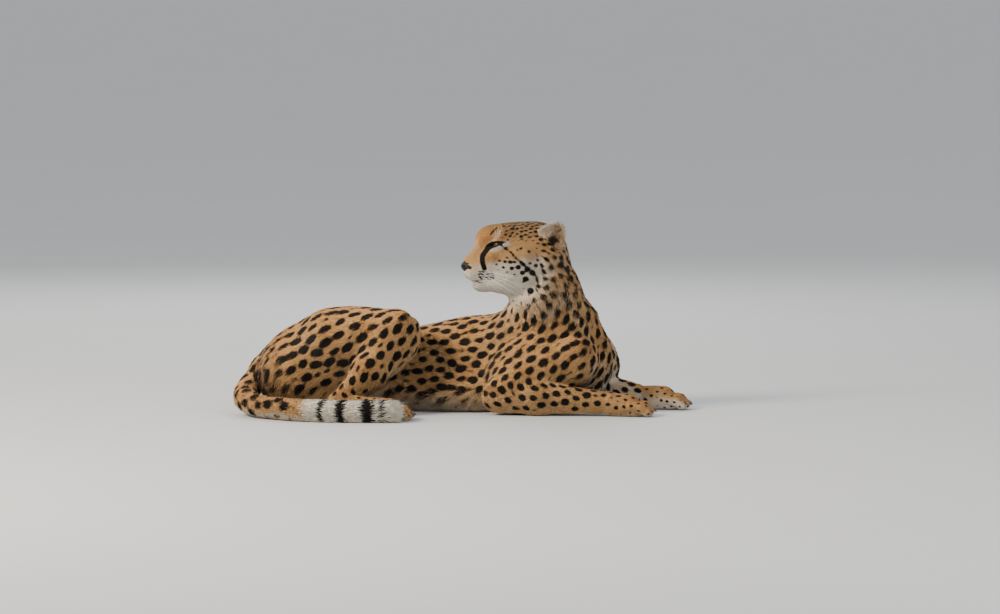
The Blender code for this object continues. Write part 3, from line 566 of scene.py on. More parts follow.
def surface_net(values, axes):
    """A vertex in each cell that the surface passes through, and a quad round each grid edge it crosses."""
    inside = values < 0
    cells_shape = [n - 1 for n in values.shape]
    corners = [(i, j, k) for i in (0, 1) for j in (0, 1) for k in (0, 1)]
    at_corners = [inside[tuple(slice(o, o + n) for o, n in zip(c, cells_shape))] for c in corners]
    count = np.sum(at_corners, axis=0)
    cells = (count > 0) & (count < 8)
    number = np.full(cells.shape, -1, np.int64)
    number[cells] = np.arange(cells.sum())
    where = np.nonzero(cells)
    total, crossings = np.zeros((len(where[0]), 3)), np.zeros(len(where[0]))
    for a in corners:
        for axis in range(3):
            if a[axis]:
                continue
            b = tuple(c + (k == axis) for k, c in enumerate(a))
            ends = [tuple(w + o for w, o in zip(where, c)) for c in (a, b)]
            va, vb = (values[e] for e in ends)
            crossed = (va < 0) != (vb < 0)
            share = np.where(crossed, va / np.where(crossed, va - vb, 1), 0)
            pa, pb = (np.stack([x[i] for x, i in zip(axes, e)], -1) for e in ends)
            total += np.where(crossed[:, None], pa + (pb - pa) * share[:, None], 0)
            crossings += crossed
    quads = []
    for axis in range(3):
        o1, o2 = (axis + 1) % 3, (axis + 2) % 3
        before, after = [slice(None)] * 3, [slice(None)] * 3
        before[axis], after[axis] = slice(0, -1), slice(1, None)
        first = inside[tuple(before)]
        edge = np.nonzero(first != inside[tuple(after)])
        kept = (edge[o1] > 0) & (edge[o2] > 0) & (edge[o1] < cells_shape[o1]) & (edge[o2] < cells_shape[o2])
        edge = [e[kept] for e in edge]
        ring = []
        for d1, d2 in ((-1, -1), (0, -1), (0, 0), (-1, 0)):
            cell = list(edge)
            cell[o1], cell[o2] = cell[o1] + d1, cell[o2] + d2
            ring.append(number[tuple(cell)])
        quad = np.stack(ring, -1)
        outward = first[tuple(edge)]
        quad[~outward] = quad[~outward][:, ::-1]
        quads.append(quad)
    return total / crossings[:, None], np.concatenate(quads)


def slope_at(field, points, step=0.0004):
    return np.stack([
        (field((points + e).astype(np.float32)) - field((points - e).astype(np.float32))) / (2 * step)
        for e in np.eye(3) * step
    ], axis=1).astype(np.float64)


def projected(field, points, rounds=2):
    """Each point moved along the field's slope onto its surface."""
    for _ in range(rounds):
        slope = slope_at(field, points)
        d = field(points.astype(np.float32)).astype(np.float64)
        share = d / np.maximum((slope ** 2).sum(axis=1), 0.15)
        points = points - np.clip(share, -0.004, 0.004)[:, None] * slope
    return points


# ------------------------------------------------------------ ears

EAR_ROOT = {1: (-2.9, 4.35, 1.8), -1: (-3.3, 4.6, 0.9)}      # left and right, in the head's frame
EAR_UP = {1: (-0.16, 0.50, 0.85), -1: (-0.28, 0.70, 0.66)}
EAR_OPEN = (0.55, 0.82, -0.1)   # the way the cup faces
EAR_HALF = (3.2, 2.8)           # half width and half height
EAR_COAT = 0.12                 # the coat's depth on it


def ear_frame(side):
    """Columns: the way the cup faces, across the blade and up it, in the head's frame."""
    up = sided(unit(EAR_UP[side]), side)
    opened = sided(EAR_OPEN, side)
    face = unit(opened - np.dot(opened, up) * up)
    return np.stack([face, np.cross(up, face) * side, up], axis=1)


def ear_points(side, r, angle, front):
    """The ear's front or back at polar (r, angle) of its blade, a disc bent to a cup with a round rim."""
    x, y = r * np.cos(angle), r * np.sin(angle)
    cup = 1.35 * x ** 2 - 0.55 * np.clip(y, 0, 1) ** 2 * (1 - 0.4 * x ** 2) + 0.25 * np.clip(-y, 0, 1)
    thickness = (0.28 - EAR_COAT) * np.sqrt(np.clip(1 - r ** 2, 0, 1)) + 0.05 * (1 - r)
    depth = cup + (thickness if front else -thickness * (1.9 - 0.9 * r))
    wide = (EAR_HALF[0] - EAR_COAT) * (1 - 0.16 * np.maximum(y, 0)) * x
    high = (EAR_HALF[1] - EAR_COAT) * y + EAR_HALF[1] * 0.75
    blade = np.stack([depth, wide, high], -1) @ ear_frame(side).T
    return from_head(sided(EAR_ROOT[side], side) + blade)


def ear_shell(side, rings=16, spokes=44):
    """The ear as one closed sheet of rings: out over its front, round the rim and back in over its back.

    It also gives, for each point, the way the coat lies, whether it is inside the cup (1) or on the back (0),
    and its polar place (r, angle) on the blade.
    """
    r = np.sin(np.linspace(0.02, math.pi / 2, rings))
    radius = np.concatenate([r, r[-2::-1]])
    front = np.arange(len(radius)) < rings
    angle = np.arange(spokes) * 2 * math.pi / spokes
    r_grid, a_grid = np.meshgrid(radius, angle, indexing="ij")
    front_face, back_face = (ear_points(side, r_grid, a_grid, face) for face in (True, False))
    points = np.where(front[:, None, None], front_face, back_face)
    _, across, up = (HEAD_AXES @ ear_frame(side)).T
    outward = across * np.cos(a_grid)[..., None] + up * np.sin(a_grid)[..., None]
    lie = np.where(front[:, None, None], 0.5 * outward, 0.45 * outward) + up
    inside = np.repeat(smoothstep(rings + 1.5, rings - 2.5, np.arange(len(radius)))[:, None], spokes, axis=1)
    points, faces = tube(points, flip=side < 0)

    def with_caps(values):
        """The grid's values in the order of tube()'s points: row by row, and then its two middle points."""
        caps = [values[0].mean(axis=0), values[-1].mean(axis=0)]
        return np.concatenate([values.reshape(-1, *values.shape[2:]), caps])

    return points, faces, *(with_caps(values) for values in (lie, inside, r_grid, a_grid))


# ------------------------------------------------------------ meshes

def tube(rings, flip=False, loop=False):
    """Triangles between rings of points (rings x spokes x 3), and a cap of them to a middle point at each
    end. With loop, the last ring joins the first and there are no caps.
    """
    count, spokes = rings.shape[:2]
    number = np.arange(count * spokes).reshape(count, spokes)
    if loop:
        number = np.vstack([number, number[:1]])
    a, b = number[:-1], number[1:]
    quads = np.stack([a, b, np.roll(b, -1, axis=1), np.roll(a, -1, axis=1)], axis=-1).reshape(-1, 4)
    triangles = np.concatenate([quads[:, [0, 1, 2]], quads[:, [0, 2, 3]]])
    points = rings.reshape(-1, 3)
    if not loop:
        first, last = number[0], number[-1]
        start = np.stack([np.full(spokes, len(points)), first, np.roll(first, -1)], axis=1)
        end = np.stack([np.full(spokes, len(points) + 1), np.roll(last, -1), last], axis=1)
        triangles = np.concatenate([triangles, start, end])
        points = np.vstack([points, rings[0].mean(axis=0), rings[-1].mean(axis=0)])
    return points, triangles[:, ::-1] if flip else triangles


def along_path(path, radius, spokes=8, up=(0.13, 0.21, 1.0)):
    """Rings of the given radii round a path, which tube() closes; their first spoke stands square to up."""
    way = unit(np.gradient(path, axis=0))
    side = unit(np.cross(way, up))
    above = np.cross(side, way)
    turn = np.arange(spokes) * 2 * math.pi / spokes
    ring = np.cos(turn)[None, :, None] * side[:, None] + np.sin(turn)[None, :, None] * above[:, None]
    return path[:, None] + np.asarray(radius)[:, None, None] * ring


def joined(shapes):
    """Several (points, triangles) as one."""
    starts = np.cumsum([0] + [len(points) for points, _ in shapes[:-1]])
    triangles = [own + start for (_, own), start in zip(shapes, starts)]
    return np.vstack([points for points, _ in shapes]), np.vstack(triangles)


def new_piece(name, points, triangles, values=None, uv=None):
    """A smooth mesh object, its point values as named attributes and its corners' uv as the map OFBake."""
    mesh = bpy.data.meshes.new(name)
    mesh.vertices.add(len(points))
    mesh.vertices.foreach_set("co", np.asarray(points, np.float32).ravel())
    mesh.loops.add(3 * len(triangles))
    mesh.loops.foreach_set("vertex_index", np.asarray(triangles, np.int32).ravel())
    mesh.polygons.add(len(triangles))
    mesh.polygons.foreach_set("loop_start", np.arange(0, 3 * len(triangles), 3, dtype=np.int32))
    mesh.update(calc_edges=True)
    mesh.shade_smooth()
    for key, value in (values or {}).items():
        mesh.attributes.new(key, "FLOAT", "POINT").data.foreach_set("value", np.asarray(value, np.float32))
    if uv is not None:
        mesh.uv_layers.new(name="OFBake").data.foreach_set("uv", np.asarray(uv, np.float32).ravel())
    obj = bpy.data.objects.new(name, mesh)
    bpy.context.scene.collection.objects.link(obj)
    return obj


def point_normals(points, triangles):
    corner = points[triangles]
    faces = np.cross(corner[:, 1] - corner[:, 0], corner[:, 2] - corner[:, 0])
    total = np.stack([
        np.bincount(triangles.ravel(), np.repeat(faces[:, k], 3), len(points)) for k in range(3)
    ], axis=1)
    return unit(total)


def refined(points, faces, inside):
    """Triangles, each edge whose ends are both inside(points) halved."""
    mesh = bpy.data.meshes.new("rough")
    mesh.from_pydata(points.tolist(), [], faces.tolist())
    bm = bmesh.new()
    bm.from_mesh(mesh)
    bpy.data.meshes.remove(mesh)
    bm.verts.ensure_lookup_table()
    within = inside(np.array([v.co for v in bm.verts]))
    edges = [e for e in bm.edges if within[e.verts[0].index] and within[e.verts[1].index]]
    bmesh.ops.subdivide_edges(bm, edges=edges, cuts=1, use_grid_fill=True)
    bmesh.ops.triangulate(bm, faces=bm.faces[:])
    bm.verts.index_update()
    points = np.array([v.co for v in bm.verts], np.float64)
    triangles = np.array([[v.index for v in f.verts] for f in bm.faces])
    bm.free()
    return points, triangles


# ------------------------------------------------------------ markings

TAIL_RINGS = ((0.749, 0.765), (0.808, 0.837), (0.890, 0.928), (0.950, 0.965))   # dark bands of the white tip
TAIL_WHITE = 0.70

# Lines and spots of the face, in the head's frame: left side, and mirrored to the right.
TEAR = [
    (9.6, 2.3, 1.7), (10.7, 2.7, 1.2), (11.6, 2.9, 0.3),
    (12.2, 3.0, -0.8), (12.2, 3.3, -2.1), (11.8, 3.4, -3.3),
]
BROW_LINE = [(7.9, 2.0, 6.0), (9.1, 2.3, 5.3), (9.9, 2.9, 4.7), (10.5, 3.3, 4.0)]
CHEEK_LINE = [
    (8.4, 4.75, 2.3), (7.7, 4.95, 1.45), (7.0, 5.3, 0.85), (6.3, 5.9, 0.2),
    (5.5, 6.5, -0.85), (4.8, 6.7, -1.35), (3.7, 6.9, -2.2), (2.6, 6.8, -3.3),
]
WHISKER_ROWS = [
    [(13.0, 2.6, -4.0), (11.6, 3.3, -4.15), (10.0, 3.8, -4.35)],
    [(13.0, 2.7, -4.55), (11.6, 3.3, -4.7), (9.8, 3.9, -4.85)],
    [(12.8, 2.8, -5.1), (11.5, 3.2, -5.25), (9.8, 3.6, -5.35)],
    [(12.4, 2.7, -5.6), (11.3, 3.0, -5.7), (10.2, 3.4, -5.8)],
]
CHEEK_SPOTS = [     # place and radius
    (8.8, 5.4, -1.4, 0.33), (7.7, 5.9, -1.6, 0.37), (6.6, 6.4, -1.6, 0.45), (8.0, 5.9, -2.8, 0.35),
    (6.3, 6.6, -3.0, 0.46), (4.9, 6.8, -2.7, 0.55), (3.7, 6.9, -2.1, 0.42), (2.9, 6.8, -3.2, 0.66),
    (1.7, 6.7, -4.0, 0.72), (4.0, 6.7, -4.0, 0.54), (3.2, 6.6, -5.3, 0.68), (5.7, 6.5, -4.3, 0.26),
    (2.3, 7.0, -1.9, 0.36), (5.0, 6.2, 1.0, 0.36), (4.2, 5.8, 1.2, 0.34), (3.8, 4.9, 3.2, 0.26),
    (1.9, 5.9, -8.0, 0.75), (0.7, 6.9, -5.4, 0.52), (5.4, 3.2, 5.3, 0.34), (3.6, 6.6, -5.9, 0.40),
    (9.4, 5.0, -2.2, 0.27), (7.2, 6.2, -0.7, 0.34), (5.7, 6.4, -1.6, 0.34), (2.5, 6.4, 0.6, 0.34),
    (1.0, 6.9, -2.4, 0.50), (2.2, 6.3, 2.2, 0.30), (0.6, 6.8, -0.4, 0.40), (-0.6, 6.9, -3.6, 0.55),
    (0.4, 6.6, -7.0, 0.55), (3.4, 5.8, -7.4, 0.30), (9.0, 4.9, -3.4, 0.18), (7.2, 6.1, -3.8, 0.22),
]
NOSE_EDGE_AND_SHADE = [(15.2, 1.2, -3.2), (14.75, 1.7, -3.25)]     # the dark edge behind the nostril, with the nostril's painted shade
UNDER_EYE = [(10.3, 3.6, 0.5), (9.3, 4.6, 1.15), (8.0, 4.9, 2.0), (7.2, 5.1, 2.2)]      # pale streaks
ABOVE_EYE = [(8.6, 3.4, 4.6), (9.6, 3.7, 3.6), (9.9, 3.5, 3.0)]
WARM_PATCH = (10.3, 4.4, -0.6)  # on the cheek under the eye
SIDEWAYS = vec(1, 0.35, 1)      # marks are laid from the side, so their depth counts for less


def sown(points, triangles, per_area):
    """Places spread evenly at random over the triangles: for each, its corners and their weights."""
    corner = points[triangles]
    area = lengths(np.cross(corner[:, 1] - corner[:, 0], corner[:, 2] - corner[:, 0])) / 2
    total = np.cumsum(area * per_area[triangles].mean(axis=1))
    ticks = np.floor(np.concatenate([[0], total]) + RANDOM.random())
    chosen = np.repeat(np.arange(len(triangles)), np.diff(ticks).astype(int))
    a, b = np.sqrt(RANDOM.random(len(chosen))), RANDOM.random(len(chosen))
    return triangles[chosen], np.stack([1 - a, a * (1 - b), a * b], axis=1)


def blend_at(corners, weights, values):
    """Point values carried to places inside triangles."""
    return (values[corners] * (weights[..., None] if values.ndim > 1 else weights)).sum(axis=1)


Spots = namedtuple("Spots", "at normal along half")
SPREAD = 1.5            # spots nearer than this many times their spacing push each other away
CANDIDATES = 9          # places tried for spots in a square as wide as their spacing
SMALL_FROM = 4 / 5      # the candidates past this share of them make small spots:
SMALL_GAP, SMALL_SIZE = 0.62, 0.50      # their spacing and size for those of the others
LEAST_SIZE = 0.25       # there are no spots where the skin's spot size is under this
NO_MARK = -0.02         # the depth given where no marking is near, in metres


def spread_out(at, gap, axis, long, rounds=7):
    """Places on the skin moved apart a little at a time: each pair pushes the harder the nearer it is, and
    long spots count as nearer along their axis."""
    reach = SPREAD * 0.5 * (gap[:, None] + gap[None])
    for _ in range(rounds):
        away = at[:, None] - at[None]
        ahead = dots(away, axis[:, None])
        d = np.sqrt((away ** 2).sum(axis=2) - (1 - 1 / long)[:, None] * ahead ** 2) + np.eye(len(at))
        push = np.clip(1 - d / reach, 0, 1) * reach / d
        at = projected(skin_field, at + 0.16 * (push[..., None] * away).sum(axis=1), 1)
    return at


def spot_axis(at, lie, turn):
    """The way each spot is long, turned this much from the lie of the coat, and its normal."""
    normal = unit(slope_at(skin_field, at.astype(np.float32)))
    lie = unit(lie - dots(lie, normal)[:, None] * normal)
    return np.cos(turn)[:, None] * lie + np.sin(turn)[:, None] * np.cross(normal, lie), normal


def spot_layout(skin):
    """Spots set apart by the coat table's spacing: candidates are taken in random order, and each is kept if
    no kept one is nearer than its spacing. Each spot is an oval in its place's tangent plane."""
    corners, weights = sown(skin.points, skin.triangles, CANDIDATES / skin.spacing ** 2)
    order = RANDOM.permutation(len(corners))
    corners, weights = corners[order], weights[order]
    at, lie, spacing, size, long, across = (
        blend_at(corners, weights, value)
        for value in (skin.points, skin.spot_lie, skin.spacing, skin.spot_size, skin.long, skin.across)
    )
    small = np.arange(len(at)) >= int(len(at) * SMALL_FROM)
    gap = spacing * np.where(small, SMALL_GAP, 1)
    size = size * np.where(small, SMALL_SIZE, 1)
    kept, count = np.zeros(len(at), int), 0
    for i in np.nonzero(size > np.where(small, SMALL_SIZE, 1) * LEAST_SIZE)[0]:
        others = kept[:count]
        if (lengths(at[others] - at[i]) > 0.5 * (gap[others] + gap[i])).all():
            kept[count] = i
            count += 1
    kept = kept[:count]
    at, lie, spacing, gap, size, long, across = (v[kept] for v in (at, lie, spacing, gap, size, long, across))
    turn = np.where(across > 0.5, math.pi / 2, 0)
    at = spread_out(at, gap, spot_axis(at, lie, turn)[0], np.clip(long, 1, 2))
    along, normal = spot_axis(at, lie, turn + RANDOM.normal(0, 0.25, len(at)))
    middle = spacing * RANDOM.uniform(0.39, 0.51, len(at)) * np.clip(size, 0, 1)
    stretch = np.clip(long * RANDOM.uniform(0.88, 1.2, len(at)), 1, 2.2)
    half = np.stack([middle * np.sqrt(stretch), middle / np.sqrt(stretch)], axis=1)
    return Spots(at, normal, along, half)


HALF_DIAGONAL = 0.87    # of a cube, for its width


def spot_depth(p, normal, spots, cell=0.05):
    """How far inside the nearest spot each point is, in metres; negative outside. Worked out cell by cell."""
    depth = np.full(len(p), NO_MARK)
    wobble = 0.08 * ripple(p, 0.009, 3) + 0.05 * ripple(p, 0.0035, 4)
    _, index = np.unique(np.floor(p / cell).astype(int), axis=0, return_inverse=True)
    order = np.argsort(index.ravel(), kind="stable")
    ends = np.nonzero(np.diff(index.ravel()[order]))[0] + 1
    side = np.cross(spots.normal, spots.along)
    for group in np.split(order, ends):
        middle = (p[group].min(axis=0) + p[group].max(axis=0)) / 2
        near = np.nonzero(lengths(spots.at - middle) < HALF_DIAGONAL * cell - NO_MARK)[0]
        if not len(near):
            continue
        q = p[group][:, None] - spots.at[near][None]
        a, b, off = (dots(q, axis[near][None]) for axis in (spots.along, side, spots.normal))
        long, short = spots.half[near].T
        out = np.sqrt((a / long) ** 2 + (b / short) ** 2 + (off / (1.6 * long)) ** 2) + wobble[group][:, None]
        facing = normal[group] @ spots.normal[near].T
        inside = np.where(facing > 0.1, (1 - out) * short, NO_MARK)
        depth[group] = inside.max(axis=1)
    return depth


def mirrored_head(p):
    """Points in the head's frame, those of its right side mirrored to the left."""
    return mirrored(in_head(np.asarray(p, np.float64)))


def face_depth(p):
    """How far inside the face's dark lines and spots each point is, in metres. The whisker rows, the lids'
    band and the edge behind each nostril are drawn wider than the marks alone, to hold painted shade.
    """
    q = mirrored_head(p)
    flat = q * SIDEWAYS

    def inside(line, radius):
        return radius - line_distance(flat, np.array(line) * SIDEWAYS)

    wobble = 0.05 * ripple(p, 0.004, 8)
    tear = inside(TEAR, 0.50) + wobble
    brow = inside(BROW_LINE, 0.17) + 1.5 * wobble
    cheek = inside(CHEEK_LINE, 0.28) + 0.16 * ripple(p, 0.010, 5) + wobble
    # the whisker pads' dark rows of spots, drawn broad to hold painted shade between lip and cheek as well
    rows = np.max([inside(row, 0.21) for row in WHISKER_ROWS], axis=0) + 0.10 * ripple(p, 0.006, 6)
    lips = np.maximum(-line_distance(q, MOUTH, 0.20), -line_distance(q, GROOVE, 0.07))
    eye = in_eye(q, 1)
    # the lids' black rims, painted wide enough to take in painted shade round the eye as well
    lids = np.where(eye[:, 0] > 0, 0.40 - almond(eye[:, 1], eye[:, 2]), -2.0)
    spots = np.array(CHEEK_SPOTS)
    away = lengths(flat[:, None] - spots[None, :, :3] * SIDEWAYS)
    rounds = (spots[:, 3] - away * (1 + 0.12 * ripple(p, 0.005, 9))[:, None]).max(axis=1)
    # the dark edge behind each nostril, partly painted shade from the nostril
    wing = inside(NOSE_EDGE_AND_SHADE, 0.40)
    return np.max([tear, brow, cheek, rows, lips, lids, rounds, wing], axis=0) * CM


def face_paint(p):
    """The pale share and the warm share of the head's coat."""
    q = mirrored_head(p)
    x, _, z = q.T
    edge = -1.6 - 0.14 * (x - 8) + 0.3 * ripple(p, 0.03, 12)
    edge = np.where(x > 11, np.minimum(edge, -2.6 - 0.35 * (x - 12.5)), edge)
    pale = 1 - smoothstep(-1.5, 1.2, z - edge)
    pale = pale * smoothstep(-3.5, 0.5, x) + 0.35 * (1 - smoothstep(-3.5, 0.5, x)) * pale
    flat = q * SIDEWAYS
    for line, most, reach in ((UNDER_EYE, 0.85, (0.9, 0.2)), (ABOVE_EYE, 0.45, (0.7, 0.1))):
        pale = np.maximum(pale, most * smoothstep(*reach, line_distance(flat, np.array(line) * SIDEWAYS)))
    patch = smoothstep(2.2, 0.6, lengths(flat - vec(*WARM_PATCH) * SIDEWAYS))
    pale = pale * (1 - 0.55 * patch * smoothstep(0.9, 0.3, z))
    forehead = smoothstep(1.0, 3.6, z) * smoothstep(6.0, 9.0, x)
    warm = 0.42 + 0.45 * forehead + 0.35 * patch + 0.08 * ripple(p, 0.02, 13)
    return pale, np.clip(warm, 0, 1)


EDGE = 0.0030           # metres over which the markings' darkness grows by 1
TAIL_LENGTH = 0.62      # metres from its root to its tip


def tail_share(shares, share_tail):
    """The tail's say in the markings, which begins a little past its root."""
    return shares[:, -1] * smoothstep(0.12, 0.3, share_tail)


def marking_depth(p, normal, shares, share_tail, spots):
    """How dark the markings make each place, 0.5 on their edges and on past 0 and 1 with the distance from
    them, and how far the place is into the tail's white tip."""
    depth = spot_depth(p, normal, spots)
    face = share_of(shares, "head") > 0.15
    depth[face] = np.maximum(depth[face], face_depth(p[face]))
    wave = share_tail + 0.004 * ripple(p, 0.012, 24)
    ring = np.max([np.minimum(wave - a, b - wave) for a, b in TAIL_RINGS], axis=0) * TAIL_LENGTH
    depth = np.maximum(depth, np.where(tail_share(shares, share_tail) > 0.5, ring, NO_MARK))
    return np.clip(0.5 + depth / EDGE, -3, 4), smoothstep(TAIL_WHITE - 0.015, TAIL_WHITE + 0.015, wave)


def crown_grizzle_and_shade(p, shares):
    """The least darkness of the coat on the crown and temples, which are peppered with dark hairs and
    darkened further as painted shade.
    """
    q = in_head(p)
    top = smoothstep(0.5, 4.5, q[:, 2]) * smoothstep(9.6, 7.4, q[:, 0]) * share_of(shares, "head")
    return (0.41 + 0.09 * ripple(p, 0.0022, 51) + 0.05 * ripple(p, 0.012, 52)) * top


def coat_paint(p, normal, shares, share_tail, spots):
    """Dark, pale and warm shares of the coat at each place, in that order.

    dark is 0.5 on a marking's edge. The back is warmest, the flanks fade down to a pale belly, the face has
    its own scheme, and the tail ends in rings and a white tip.
    """
    under = shares @ np.array([m.under for m in MASSES] + [DOWN])
    turned_under = dots(normal, under) + 0.12 * ripple(p, 0.05, 21)
    pale = smoothstep(-0.15, 0.95, turned_under)
    low = share_of(shares, "trunk") * smoothstep(0.075, 0.02, p[:, 2]) * smoothstep(0.25, 0.12, p[:, 0])
    pale = np.maximum(pale, 0.6 * low * smoothstep(0.2, -0.4, normal[:, 2]))
    warm = 0.42 + 0.30 * normal[:, 2] + 0.10 * ripple(p, 0.09, 22) + 0.05 * ripple(p, 0.03, 23)
    dark, white = marking_depth(p, normal, shares, share_tail, spots)
    # the crown's least darkness: dark hairs, and partly painted shade
    dark = np.maximum(dark, crown_grizzle_and_shade(p, shares))
    face_pale, face_warm = face_paint(p)
    on_head = share_of(shares, "head")
    pale = pale * (1 - on_head) + face_pale * on_head
    warm = warm * (1 - on_head) + face_warm * on_head
    tail_pale = np.maximum(0.75 * smoothstep(0.1, 0.8, -normal[:, 2]), white)
    pale = np.where(tail_share(shares, share_tail) > 0.5, tail_pale, pale)
    return dark, np.clip(pale, 0, 1), np.clip(warm, 0, 1)


# ------------------------------------------------------------ the skin

# Of each point: its normal, the lie of the hair and of the spots, the spots' spacing, size, length for width
# and whether they run across the lie, every mass's share, the share of the tail's length that it stands at,
# its kind of coat, and for an ear a row of 1, whether it is inside the cup, and its polar place.
Skin = namedtuple(
    "Skin", "points triangles normals lie spot_lie spacing spot_size long across shares share_tail kind ear")


def on_head_or_paw(p):
    found = (lengths(p - head_point(10.5, 0, -2)) < 0.13) | (lengths(p - head_point(2, 0, 0)) < 0.10)
    for at, _, size in PAWS.values():
        found |= lengths(p - (vec(*at) + vec(0, 0, 0.01))) < 0.046 * size
    return found


def on_muzzle(p):
    return lengths(p - head_point(10.5, 0, -2)) < 0.078


def skin_mesh():
    """The skin's surface, halved once over the head and paws and again over the front of the face."""
    axes = [np.arange(a - 2.5 * SKIN_STEP, b + 2.5 * SKIN_STEP, SKIN_STEP) for a, b in zip(*CAD_BOX)]
    points, faces = surface_net(sampled(skin_field, axes), axes)
    points = projected(skin_field, points, 1)
    for fine in (on_head_or_paw, on_muzzle):
        points, faces = refined(points, faces, fine)
    points = projected(skin_field, points)
    points[:, 2] = np.maximum(points[:, 2], 0.0008)
    return points, faces


def along_tail(share, values):
    """Values along the tail's route at these shares of its length."""
    steps = np.linspace(0, 1, len(values))
    return np.stack([np.interp(share, steps, column) for column in values.T], axis=1)


def spot_sizes(points, normals, shares, share_tail):
    """The spots' share of their full size: all of it on the body, none on the face, less on the paws and
    underneath, and none on the white of the tail or where the animal lies on the floor."""
    q = mirrored_head(points)
    on_head = share_of(shares, "head")
    crown = smoothstep(2.6, 3.6, q[:, 2]) * smoothstep(8.6, 7.2, q[:, 0])
    nape = smoothstep(1.2, -0.5, q[:, 0])
    size = (1 - on_head) + on_head * np.maximum(0.85 * crown, nape)
    size = size * (1 - 0.9 * smoothstep(0.45, 0.85, -normals[:, 2]))
    size = size * (1 - 0.40 * share_of(shares, "paw"))
    size = np.where((shares[:, -1] > 0.5) & (share_tail > TAIL_WHITE - 0.02), 0, size)
    return np.where(points[:, 2] < 0.004, 0, size)


def body_skin():
    """The skin of all but the ears."""
    points, triangles = skin_mesh()
    p32 = points.astype(np.float32)
    distances = mass_distances(p32)
    share_tail, tail = tail_place(p32)
    shares = mass_shares(distances, tail)
    soft = mass_shares(distances, tail, 0.02)
    lie = soft[:, :-1] @ np.array([m.lie for m in MASSES]) + soft[:, -1:] * along_tail(share_tail, TAIL_WAY)
    # the haunches' spots lie flatter than their hair
    spot_lie = unit(lie) + 0.8 * share_of(shares, "thigh")[:, None] * BACK
    normals = point_normals(points, triangles)
    long, across = (shares @ np.array([getattr(m, of) for m in MASSES] + [1.0]) for of in ("long", "across"))
    size = spot_sizes(points, normals, shares, share_tail)
    kind = np.array([kind_of(part) for part in part_names()])[shares.argmax(axis=1)]
    return Skin(points, triangles, normals, lie, spot_lie, shares @ by_mass("spacing"), size, long, across,
                shares, share_tail, kind, np.zeros((len(points), 4)))


def ear_skin(side):
    """An ear's shell, which no mass has a say in and which has no spots."""
    points, triangles, lie, inside, r, angle = ear_shell(side)
    normals = point_normals(points, triangles)
    none, one = np.zeros(len(points)), np.ones(len(points))
    spacing, shares = COATS["ear"].spacing * one, np.zeros((len(points), len(part_names())))
    kind, ear = np.full(len(points), "ear"), np.stack([one, inside, r, angle], axis=1)
    return Skin(points, triangles, normals, lie, lie, spacing, none, one, none, shares, none, kind, ear)


def build_skin():
    """The body's skin and the ears' as one set of points."""
    skins = [body_skin()] + [ear_skin(side) for side in BOTH]
    triangles = joined([(skin.points, skin.triangles) for skin in skins])[1]
    together = Skin(*(np.concatenate(values) for values in zip(*skins)))
    return together._replace(triangles=triangles)


def ear_paint(ear, p):
    """Dark, pale and warm shares on the ears: black backs with a tawny base and rim, and pale hair in the cup
    that darkens over its wall and most in its hollow, partly dark hair and skin and partly painted shade."""
    inside, r, angle = ear[:, 1:].T
    x, y = r * np.cos(angle), r * np.sin(angle)
    back_dark = smoothstep(0.93, 0.80, r) * smoothstep(-0.55, -0.25, y + 0.08 * ripple(p, 0.01, 31))
    out = np.hypot(1.1 * (x - 0.12), y + 0.40)
    # the hollow deep in the cup, painted dark: partly dark skin, partly painted shade
    hollow = smoothstep(0.70, 0.30, out + 0.08 * ripple(p, 0.006, 32))
    front_edge = smoothstep(-0.05, -0.60, x)
    rim = smoothstep(0.78, 0.95, r) * smoothstep(-0.1, 0.4, y)
    streaks = 0.07 * ripple(p, 0.0022, 33) + 0.05 * ripple(p, 0.006, 34)
    # the cup's wall, darkened: partly dark hair, partly painted shade
    cup_wall_and_shade = 0.54 - 0.16 * front_edge - 0.06 * rim + streaks
    dark = (1 - inside) * back_dark * 0.95 + inside * np.maximum(hollow * 0.80, cup_wall_and_shade)
    pale = inside * (0.22 + 0.40 * front_edge + 0.30 * rim) * (1 - 0.8 * hollow)
    pale = pale + (1 - inside) * 0.35 * smoothstep(0.85, 0.98, r)
    return np.clip(dark, 0, 1), np.clip(pale, 0, 1), np.full(len(p), 0.15)


# ------------------------------------------------------------ the coat's locks

# Each piece of the coat: the parts it covers, on which side, and the axis that its map is unrolled about.
GROUPS = {
    "coat_head_left": (("head", "ear"), "left", head_point(-7, 0, 0), head_point(17, 0, -2)),
    "coat_head_right": (("head", "ear"), "right", head_point(-7, 0, 0), head_point(17, 0, -2)),
    "coat_neck": (("neck",), None, vec(0.18, -0.03, 0.34), vec(0.215, 0, 0.17)),
    "coat_trunk_right": (("trunk",), "right", vec(-0.44, 0.03, 0.10), vec(0.36, 0.02, 0.11)),
    "coat_trunk_left": (("trunk",), "left", vec(-0.44, 0.03, 0.10), vec(0.36, 0.02, 0.11)),
    "coat_thigh_right": (("thigh_right",), None, vec(-0.46, -0.05, 0.09), vec(-0.10, -0.08, 0.16)),
    "coat_thigh_left": (("thigh_left",), None, vec(-0.43, 0.09, 0.09), vec(-0.10, 0.12, 0.10)),
    "coat_hind_feet": (
        ("shank_right", "hindpaw_right", "shank_left", "hindpaw_left"), None,
        vec(-0.33, 0.0, 0.06), vec(-0.10, 0.0, 0.06)),
    "coat_foreleg_right": (
        ("foreleg_right", "forepaw_right"), None, vec(0.05, -0.10, 0.04), vec(0.44, -0.135, 0.02)),
    "coat_foreleg_left": (
        ("foreleg_left", "forepaw_left"), None, vec(0.11, 0.11, 0.05), vec(0.52, 0.035, 0.02)),
    "coat_tail": (("tail",), None, None, None),
}
PATCH = 0.003           # a lock's place on its map is this far across
TRUNK_MIDDLE = 0.030    # y that parts the trunk's two sides


